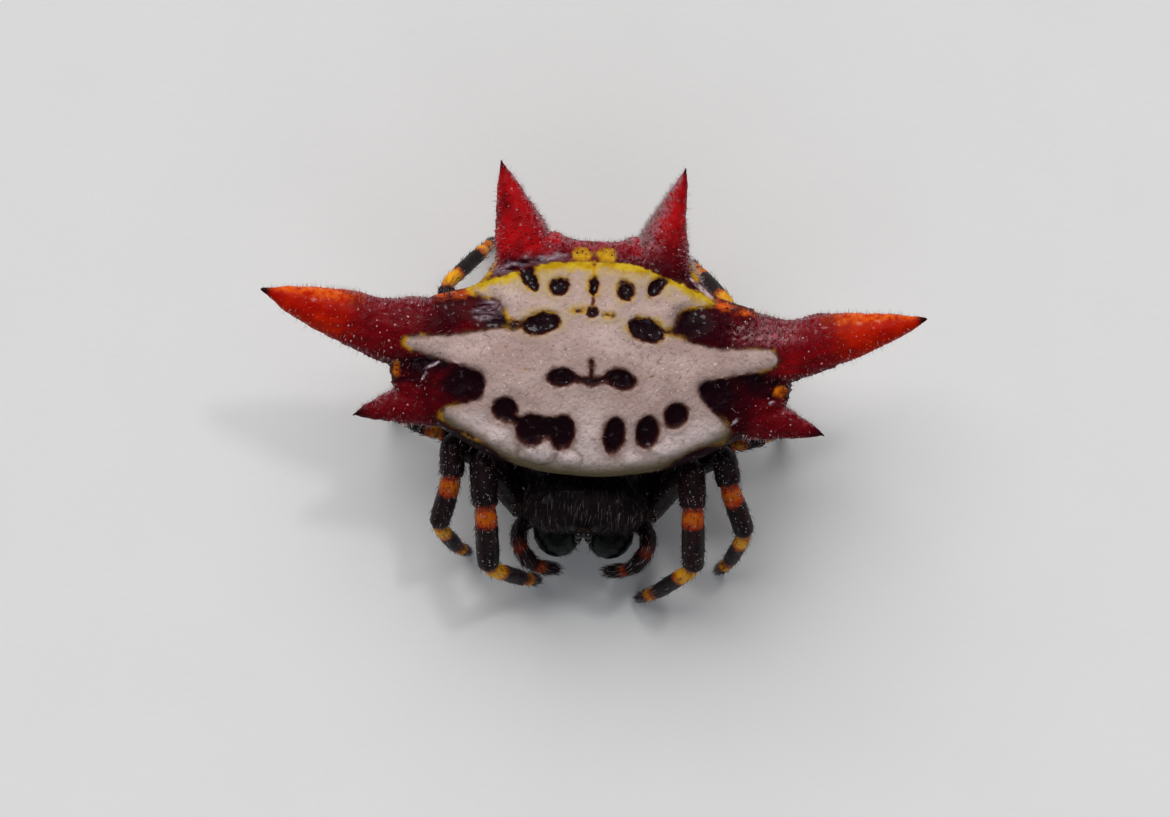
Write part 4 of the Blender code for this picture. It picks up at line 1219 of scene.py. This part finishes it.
# Hairs of a leg: (name, count, first and last station, (length, half width, lift, spread), material)
LEG_COATS = [
    ("bristles", 520, 0.6, 5.80, (0.13, 0.0044, 0.80, 0.18), black_hair),
    ("silver", 110, 0.6, 5.9, (0.11, 0.0034, 0.30, 0.12), silver_hair),
    ("foot_brush", 240, 5.4, 5.97, (0.07, 0.0026, 0.25, 0.10), black_hair),
    ("foot_silver", 300, 5.45, 5.92, (0.08, 0.0030, 0.22, 0.10), silver_hair),
]
# Grains of a leg: (count, first and last station), the knees' for each pair of legs
SHIN_GRAINS = (200, 3.0, 3.95)
KNEE_GRAINS = [(540, 1.4, 2.98), (540, 1.4, 2.98), (160, 1.4, 2.98), (160, 1.4, 2.98)]
LEG_GRAIN_RADIUS = (0.008, 0.018)
FROSTED_GRAINS = 0.45
CLAW_LENGTH = 0.17
CLAW_RADIUS = 0.028
CLAW_END_HEIGHT = 0.03
CLAW_SIDES = 6


def limb_spots(limb, count, low, high, rng):
    """Random places on a limb's skin, their outward ways, the ways to the tip and their bake places."""
    line, stations, radii, (ways, sides, ups) = limb
    spots = rng.uniform(low, high, count)
    rows = np.interp(spots, stations, np.arange(len(line)))
    below = np.clip(rows.astype(int), 0, len(line) - 2)
    part = (rows - below)[:, None]
    turns = rng.uniform(0, 2 * math.pi, count)

    def along(values):
        values = values if values.ndim > 1 else values[:, None]
        return values[below] * (1 - part) + values[below + 1] * part

    outs = along(sides) * np.cos(turns)[:, None] + along(ups) * np.sin(turns)[:, None]
    patches = np.column_stack((0.02 + 0.96 * rows / len(line), 0.02 + 0.96 * turns / (2 * math.pi)))
    return along(line) + outs * along(radii), outs, along(ways), patches


def limb_hairs(name, limb, count, low, high, form, material, rng):
    """Hairs along a limb, lying toward its tip. form is (length, half width, lift, spread)."""
    length, half_width, lift, spread = form
    roots, outs, ways, patches = limb_spots(limb, count, low, high, rng)
    lifts = lift * rng.uniform(0.7, 1.3, (count, 1))
    leans = ways + outs * lifts + rng.normal(0, spread, (count, 3))
    bends = ways * 0.25 - outs * lifts * 0.35
    return bristles(
        name, roots, leans, bends, length * rng.uniform(0.6, 1.25, count),
        half_width * rng.uniform(0.7, 1.2, count), patches, material, rng.uniform(0, 1, count),
    )


grain_material, shader = finish(
    "leg_grain", roughness=0.32, coat_weight=0.2, coat_roughness=0.15, specular_ior_level=0.15
)
wire(shader, base_color=blend(mask_of("frost"), LEG_BROWN, patched((0.34, 0.28, 0.32), LEG_BROWN, 6.0)))


def limb_grains(name, limb, count, low, high, rng):
    """Low whitish grains on the upper side of a limb."""
    roots, outs, _, patches = limb_spots(limb, count, low, high, rng)
    kept = outs[:, 2] > rng.uniform(-0.3, 0.6, count)
    frost = (rng.random(kept.sum()) < FROSTED_GRAINS).astype(float)
    sizes = rng.uniform(*LEG_GRAIN_RADIUS, kept.sum())
    return grains(name, roots[kept], outs[kept], sizes, patches[kept], grain_material, {"frost": frost})


def claws(name, limb, material):
    """The two curved claws that end a foot, side by side, resting on the floor."""
    foot = limb[0][-1]
    ways, sides, _ = (rows[-1] for rows in limb[3])
    across = np.cross(ways, (0, 0, 1))
    drop = foot[2] - CLAW_END_HEIGHT
    rings = []
    triangles = []
    for sign in (1, -1):
        base = len(rings) * CLAW_SIDES
        for share in (0.0, 0.35, 0.7, 1.0):
            middle = foot + ways * CLAW_LENGTH * share + sides * sign * (0.03 + 0.02 * share)
            middle = middle + np.array((0, 0, 0.05 * math.sin(math.pi * share) - drop * share**2))
            girth = CLAW_RADIUS * (1 - 0.85 * share)
            middle[2] = max(middle[2], girth + 0.005)
            rings.append([
                middle + (across * math.cos(a) + np.array((0, 0, 1)) * math.sin(a)) * girth
                for a in 2 * math.pi * np.arange(CLAW_SIDES) / CLAW_SIDES
            ])
        triangles += tube_faces(3, CLAW_SIDES, base)
        end = base + 3 * CLAW_SIDES
        for k in range(1, CLAW_SIDES - 1):
            triangles += [(base, base + k + 1, base + k), (end, end + k, end + k + 1)]
    return build_mesh(name, np.array(rings).reshape(-1, 3), triangles, material)


claw_material, shader = finish("claw_horn", roughness=0.25)
wire(shader, base_color=patched((0.02, 0.012, 0.01), (0.09, 0.04, 0.02), 20.0))
for number in (1, 2, 3, 4):
    for side_index, (side_name, sign) in enumerate((("left", 1), ("right", -1))):
        name = f"leg_{number}_{side_name}"
        root_x, root_y = COXA_ROOTS[number - 1]
        hip_x, hip_y = HIPS[number - 1]
        corners = [(sign * root_x, root_y, COXA_HEIGHT), (sign * hip_x, hip_y, HIP_HEIGHT)]
        corners += [(x, y, z) for (x, y), z in zip(JOINT_PLACES[name], JOINT_HEIGHTS[number - 1])]
        limb, lengths = limb_course(corners, LEG_BENDS, LEG_GIRTHS[number - 1], LEG_TIP)
        seed = 10.0 * number + side_index
        leg = limb_skin(name + "_skin", limb, LEG_RINGS[number - 1], lengths, seed, leg_material)
        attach(leg, "root")
        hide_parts(f"{name}_femur", f"{name}_tibia", f"{name}_foot")
        rng = np.random.default_rng(100 + number * 2 + side_index)
        coats = [limb_hairs(f"{name}_{kind}", limb, *coat, rng) for kind, *coat in LEG_COATS]
        coats.append(limb_grains(name + "_grains", limb, *SHIN_GRAINS, rng))
        coats.append(limb_grains(name + "_knee_grains", limb, *KNEE_GRAINS[number - 1], rng))
        coats.append(claws(name + "_claws", limb, claw_material))
        for coat_piece in coats:
            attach(coat_piece, "root")

# The pedicel: the narrow ringed waist between chest and abdomen, hidden under the plate. It is
# one skin of the same black cuticle as the carapace.


def body_finish(name, dark, brown, grain_scale, depth, **plain):
    """Dark cuticle with brown patches and a fine grain of its own."""
    material, shader = finish(name, **plain)
    height = plus(grain(grain_scale, 4.0), times(grain(grain_scale * 3, 2.0), 0.5))
    wire(
        shader, base_color=patched(dark, brown, 2.4, 0.18), roughness=scaled(grain(4.0), 0.2, 0.30),
        normal=bump(height, 0.8, depth),
    )
    return material


def relieved(skin, relief):
    """Moves a fine skin's points outward by relief, a function of places and outward ways."""
    places = read_points(skin.data) - (0, FRAME_Y, 0)
    outs = read_normals(skin.data)
    places = places + relief(places, outs)[:, None] * outs
    write_points(skin.data, (places + (0, FRAME_Y, 0)) * MM)
    skin.data.shade_smooth()
    return places, outs


CARAPACE_BLACK = (0.0045, 0.0032, 0.0045)
CARAPACE_BROWN = (0.012, 0.006, 0.007)
carapace_material = body_finish(
    "carapace_cuticle", CARAPACE_BLACK, CARAPACE_BROWN, 16.0, 0.010,
    specular_ior_level=0.05, coat_weight=0.05, coat_roughness=0.15,
)
pedicel = fine_skin("pedicel_skin", "pedicel", voxel=0.02, rounds=4)
relieved(pedicel, lambda places, outs: 0.012 * np.sin(places[:, 1] * 70))
pedicel.data.materials.append(carapace_material)
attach(pedicel, "root")
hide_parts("pedicel")

# The carapace: the one hard shell over head and chest, black and finely grained. A groove on each
# side sets the head off from the chest. Fine silvery-brown hairs lie on it, forward to the face.
GROOVES = [
    ((0.98, -3.72), (0.40, -3.30)), ((0.40, -3.30), (0.0, -3.02)),
    ((-0.98, -3.72), (-0.40, -3.30)), ((-0.40, -3.30), (0.0, -3.02)),
]
CHEST_PIT = (0.0, -2.98)
BROW = (0.86, -4.10)


def nearest_line(plan, lines):
    """Distance in plan to the nearest of some lines."""
    return np.min([line_distance(plan, start, end) for start, end in lines], axis=0)


def carapace_relief(places, outs):
    """Grooves round the head, a pit on the chest, swellings under the eyes and an uneven hide."""
    over = step(0.1, 0.5, outs[:, 2])
    plan = places[:, :2]
    relief = -0.045 * over * bell(nearest_line(plan, GROOVES), 0.075)
    relief -= 0.06 * over * bell(away_from(plan, *CHEST_PIT), 0.10)
    brow = np.hypot(np.abs(plan[:, 0]) - BROW[0], plan[:, 1] - BROW[1])
    relief += 0.035 * bell(brow, 0.22) * step(2.0, 2.5, places[:, 2])
    relief += 0.018 * lumps(places, 2.4, 1.0) + 0.007 * lumps(places, 9.0, 4.0)
    return relief


carapace = fine_skin("carapace_skin", "carapace", voxel=0.030, rounds=9)
places, outs = relieved(carapace, carapace_relief)
carapace.data.materials.append(carapace_material)
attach(carapace, "root")
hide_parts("carapace")


# Half size of a piece on each half of its bake map
PLAN_SHARE = (0.235, 0.47)


def plan_unwrap(places, outs, middle, reach):
    """A bake map seen from above: what faces up in the left half, what faces down in the right."""
    half = np.where(outs[:, 2] > 0, 0.25, 0.75)
    shift = np.clip((places[:, :2] - middle) / reach, -1.0, 1.0)
    return np.column_stack((half + shift[:, 0] * PLAN_SHARE[0], 0.5 + shift[:, 1] * PLAN_SHARE[1]))


def lying_hairs(name, skin, count, density, toward, form, unwrap, material, rng, tones=(0.0, 1.0)):
    """Hairs on a skin that lie over it one way. form is (length, half width, lift, spread).

    unwrap is the middle and half size in plan of the piece's bake map.
    """
    length, half_width, lift, spread = form
    roots, outs = scatter(skin.data, count, density, rng)
    flow = toward(roots)
    flow = unit(flow - outs * np.sum(flow * outs, axis=1, keepdims=True))
    lifts = lift * rng.uniform(0.5, 1.4, (count, 1))
    leans = flow + outs * lifts + rng.normal(0, spread, (count, 3))
    bends = -outs * lifts * 0.5 + rng.normal(0, 0.06, (count, 3))
    return bristles(
        name, roots, leans, bends, length * rng.uniform(0.55, 1.3, count),
        half_width * rng.uniform(0.7, 1.3, count), plan_unwrap(roots, outs, *unwrap), material,
        rng.uniform(*tones, count),
    )


def toward_face(roots):
    """The lie of the hairs of head and chest: forward, drawing in over the jaws."""
    swirl = lumps(roots, 2.2, 8.0)
    inward = -0.32 * roots[:, 0] * step(-3.9, -4.5, roots[:, 1])
    return np.column_stack((inward + 0.22 * swirl, np.full(len(roots), -1.0), np.zeros(len(roots))))


def bare_under_eyes(places):
    """0.15 on the eyes' knobs, where few hairs grow, and 1 elsewhere."""
    return np.where((np.abs(places[:, 0]) < 0.30) & (places[:, 1] < -4.2) & (places[:, 2] > 2.4), 0.15, 1.0)


rng = np.random.default_rng(7)
silky_hair = hair_finish("silky_brown_hair", (0.004, 0.003, 0.004), (0.34, 0.26, 0.27), 0.42)
over = step(-0.25, 0.25, outs[:, 2]) + 0.8 * step(0.2, 0.8, -outs[:, 1]) * step(1.9, 2.2, places[:, 2])
density = over * (0.60 + step(-3.0, -4.2, places[:, 1])) * bare_under_eyes(places)
CARAPACE_UNWRAP = ((0.0, -3.42), (1.3, 1.2))
carapace_hairs = lying_hairs(
    "carapace_hairs", carapace, 900, density, toward_face, (0.19, 0.0036, 0.22, 0.10),
    CARAPACE_UNWRAP, silky_hair, rng, tones=(-0.9, 1.0),
)
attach(carapace_hairs, "root")
dark_down = lying_hairs(
    "carapace_down", carapace, 2600, density + 0.2, toward_face, (0.16, 0.0048, 0.45, 0.2),
    CARAPACE_UNWRAP, black_hair, rng,
)
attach(dark_down, "root")

# The eyes: eight black beads of clear cuticle, four on the knob in the middle of the face and a
# pair on each shoulder of the head. Each sits in a low collar, and nothing grows on them.
EYE_RADIUS = 0.070
EYE_RISE = 0.12
MIDDLE_SPACING = (0.10, 0.09)
SIDE_SPACING = 0.075
# Gap that the solids keep between the carapace and the eyes' knobs
CAD_GAP = 0.10
# For each group of eyes, a line from outside to inside the head that meets it at their seat
EYE_SEATS = {
    "eyes_middle": ((0.0, -6.0, 2.66), (0.0, -3.0, 2.66)),
    "eyes_left": ((3.0, -5.9, 2.62), (0.75, -3.6, 2.40)),
    "eyes_right": ((-3.0, -5.9, 2.62), (-0.75, -3.6, 2.40)),
}


def bead(name, centre, radius, material):
    """A round, finely divided bead."""
    mesh = bpy.data.meshes.new(name)
    bm = bmesh.new()
    bmesh.ops.create_icosphere(bm, subdivisions=4, radius=radius * MM)
    bm.to_mesh(mesh)
    bm.free()
    write_points(mesh, read_points(mesh) + (np.array(centre) + (0, FRAME_Y, 0)) * MM)
    mesh.shade_smooth()
    mesh.materials.append(material)
    made = bpy.data.objects.new(name, mesh)
    bpy.context.scene.collection.objects.link(made)
    return made


lens_material, shader = finish(
    "eye_lens", roughness=0.06, coat_weight=0.3, coat_roughness=0.03, specular_ior_level=0.15
)
wire(shader, base_color=blend(clouds(5.0, 0.4, 0.7, 2.0), (0.004, 0.004, 0.005), (0.018, 0.010, 0.006)))
collar_material = body_finish(
    "eye_collar", (0.005, 0.003, 0.003), (0.018, 0.008, 0.006), 22.0, 0.006, specular_ior_level=0.08
)
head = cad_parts["carapace"].data
head_faces = BVHTree.FromPolygons([v.co for v in head.vertices], [p.vertices for p in head.polygons])
for node, (start, toward) in EYE_SEATS.items():
    start, toward = Vector(start), Vector(toward)
    shift = Vector((0, FRAME_Y, 0))
    way = (toward - start).normalized()
    met, out, _, _ = head_faces.ray_cast((start + shift) * MM, way)
    seat = met / MM - shift + out * CAD_GAP * 0.6
    if node == "eyes_middle":
        up = out.cross(Vector((-1, 0, 0))).normalized()
        centres = [
            seat + out * EYE_RISE + Vector((x * MIDDLE_SPACING[0], 0, 0)) + up * rise * MIDDLE_SPACING[1]
            for x in (1, -1) for rise in (1, -1)
        ]
    else:
        across = out.cross(Vector((0, 0, 1))).normalized()
        centres = [seat + out * EYE_RISE + across * order * SIDE_SPACING for order in (1, -1)]
    knob = fine_skin(node + "_knob", node, voxel=0.014, rounds=6)
    relieved(knob, lambda places, outs: 0.004 * lumps(places, 20.0) - 0.012)
    knob.data.materials.append(collar_material)
    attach(knob, "root")
    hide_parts(node)
    for index, centre in enumerate(centres):
        lens = bead(f"{node}_lens_{index}", centre, EYE_RADIUS, lens_material)
        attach(lens, "root")

# The jaws: two smooth, swollen, greenish-black domes under the face, side by side. A brown horn
# fang is folded in at the lower end of each, and a few dark bristles stand on the inner edges.
# The jaws stand this much fuller than the solids, above the height where the fang begins
JAW_SWELL = 0.03
JAW_FOOT = 0.86
JAW_BLACK = (0.0018, 0.0024, 0.0032)
JAW_GREEN = (0.0028, 0.0048, 0.0034)
FANG_BROWN = (0.055, 0.014, 0.006)
jaw_material, shader = finish("jaw_cuticle", coat_weight=0.08, coat_roughness=0.09, specular_ior_level=0.02)
jaw_tone = blend(between(mask_of("fang"), 0.4, 0.6), patched(JAW_BLACK, JAW_GREEN, 1.8, 0.2), FANG_BROWN)
jaw_rough = scaled(grain(3.0, 3.0), 0.25, 0.20)
wire(shader, base_color=jaw_tone, roughness=jaw_rough, normal=bump(grain(18.0, 4.0), 0.6, 0.006))


def jaw_relief(places, outs):
    """The jaw's swelling above its fang, and a slightly uneven hide."""
    return JAW_SWELL * step(JAW_FOOT, 1.1, places[:, 2]) + 0.008 * lumps(places, 3.0, 2.0)


for side_name, sign in (("left", 1), ("right", -1)):
    jaw = fine_skin(f"chelicera_{side_name}_skin", f"chelicera_{side_name}", voxel=0.022, rounds=8)
    places, outs = relieved(jaw, jaw_relief)
    write_mask(jaw.data, "fang", step(JAW_FOOT + 0.04, JAW_FOOT - 0.04, places[:, 2]))
    jaw.data.materials.append(jaw_material)
    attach(jaw, "root")
    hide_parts(f"chelicera_{side_name}")
    rng = np.random.default_rng(60 + sign)
    inner = step(0.30, 0.55, -outs[:, 0] * sign) * step(0.0, 0.5, -outs[:, 1]) * step(1.9, 1.5, places[:, 2])
    sparse = 0.05 * step(0.0, 0.6, -outs[:, 1]) + 0.25 * step(1.85, 2.0, places[:, 2])
    jaw_bristles = lying_hairs(
        f"chelicera_{side_name}_bristles", jaw, 90, inner + sparse,
        lambda roots: np.tile((0.0, -0.6, -1.0), (len(roots), 1)), (0.17, 0.0055, 0.55, 0.2),
        ((sign * 0.50, -4.42), (0.5, 0.6)), black_hair, rng,
    )
    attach(jaw_bristles, "root")

# The palps: two short feelers that curl forward round the jaws, black with a dull red ring and an
# orange one, and a dark bristly last segment. Each is one skin, like a leg, but without claws.
PALP_JOINTS = [
    (0.74, -4.00, 0.66), (1.27, -4.38, 1.02), (1.26, -4.76, 1.52), (0.98, -5.13, 1.40), (0.44, -5.20, 1.10),
]
PALP_BENDS = (0.18, 0.18, 0.18)
PALP_GIRTHS = (0.17, 0.16, 0.155, 0.135)
PALP_TIP = 0.30
PALP_RINGS = [(1, 0.92, 1.28, 0.0), (3, 0.16, 0.50, 1.0)]
PALP_COATS = [
    ("bristles", 420, 0.5, 3.80, (0.13, 0.0040, 0.75, 0.2), black_hair),
    ("brush", 420, 3.3, 3.98, (0.13, 0.0026, 0.28, 0.12), black_hair),
    ("silver", 160, 0.5, 3.9, (0.12, 0.0040, 0.25, 0.12), silver_hair),
]
palp_material = limb_finish("palp_cuticle", (0.11, 0.010, 0.005), (0.22, 0.025, 0.004), (0.46, 0.10, 0.004))
for side_index, (side_name, sign) in enumerate((("left", 1), ("right", -1))):
    name = f"palp_{side_name}"
    corners = [(sign * x, y, z) for x, y, z in PALP_JOINTS]
    limb, lengths = limb_course(corners, PALP_BENDS, PALP_GIRTHS, PALP_TIP)
    palp = limb_skin(name + "_skin", limb, PALP_RINGS, lengths, 90.0 + side_index, palp_material)
    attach(palp, "root")
    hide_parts(name)
    rng = np.random.default_rng(80 + side_index)
    for hairs in [limb_hairs(f"{name}_{kind}", limb, *coat, rng) for kind, *coat in PALP_COATS]:
        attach(hairs, "root")

# The underside: breastplate with lip and mouth plates, and the spinnerets below the belly cone.
# All of it is dark brown cuticle with short brown hairs, and the cone carries a thin coat too.
belly_material = body_finish(
    "belly_cuticle", (0.014, 0.008, 0.007), (0.06, 0.028, 0.018), 14.0, 0.012, specular_ior_level=0.35
)
brown_hair = hair_finish("brown_hair", (0.03, 0.018, 0.014), (0.30, 0.22, 0.18), 0.4)
LIP_SEAMS = (((-0.5, -3.60), (0.5, -3.60)), ((0.0, -3.62), (0.0, -3.95)))
sternum = fine_skin("sternum_skin", "sternum", voxel=0.026, rounds=7)


def sternum_relief(places, outs):
    """Shallow seams that set off the lip and the mouth plates, and an uneven hide."""
    return 0.012 * lumps(places, 4.0) - 0.04 * bell(nearest_line(places[:, :2], LIP_SEAMS), 0.05)


_, outs = relieved(sternum, sternum_relief)
sternum.data.materials.append(belly_material)
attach(sternum, "root")
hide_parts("sternum")
rng = np.random.default_rng(23)


def toward_middle(roots):
    """The lie of the breastplate's hairs: inward and a little down."""
    inward = np.column_stack((-roots[:, 0], -roots[:, 1] - 3.3, np.zeros(len(roots))))
    return inward + (0.0, 0.02, -0.2)


sternum_hairs = lying_hairs(
    "sternum_hairs", sternum, 700, step(0.3, -0.3, outs[:, 2]), toward_middle,
    (0.13, 0.0045, 0.5, 0.25), ((0.0, -3.27), (0.6, 0.8)), brown_hair, rng,
)
spinnerets = fine_skin("spinnerets_skin", "spinnerets", voxel=0.020, rounds=5)
_, outs = relieved(
    spinnerets, lambda places, outs: 0.006 * np.sin(places[:, 2] * 60) + 0.008 * lumps(places, 6.0)
)
spinnerets.data.materials.append(belly_material)
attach(spinnerets, "root")
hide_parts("spinnerets")


def downward(roots):
    """The lie of the hairs round the cone's end."""
    return np.tile((0.0, 0.0, -1.0), (len(roots), 1))


spinneret_hairs = lying_hairs(
    "spinneret_hairs", spinnerets, 500, step(0.2, -0.1, outs[:, 2]) + 0.1, downward,
    (0.11, 0.0040, 0.45, 0.2), ((0.0, -0.75), (0.6, 0.6)), brown_hair, rng,
)
for hairs in (sternum_hairs, spinneret_hairs):
    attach(hairs, "root")
belly_hairs = lying_hairs(
    "belly_hairs", abdomen, 3200, belly + 0.02, downward, (0.16, 0.0050, 0.5, 0.25),
    ((0.0, SHELL_MIDDLE_Y), SHELL_REACH), brown_hair, rng,
)
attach(belly_hairs, "root")
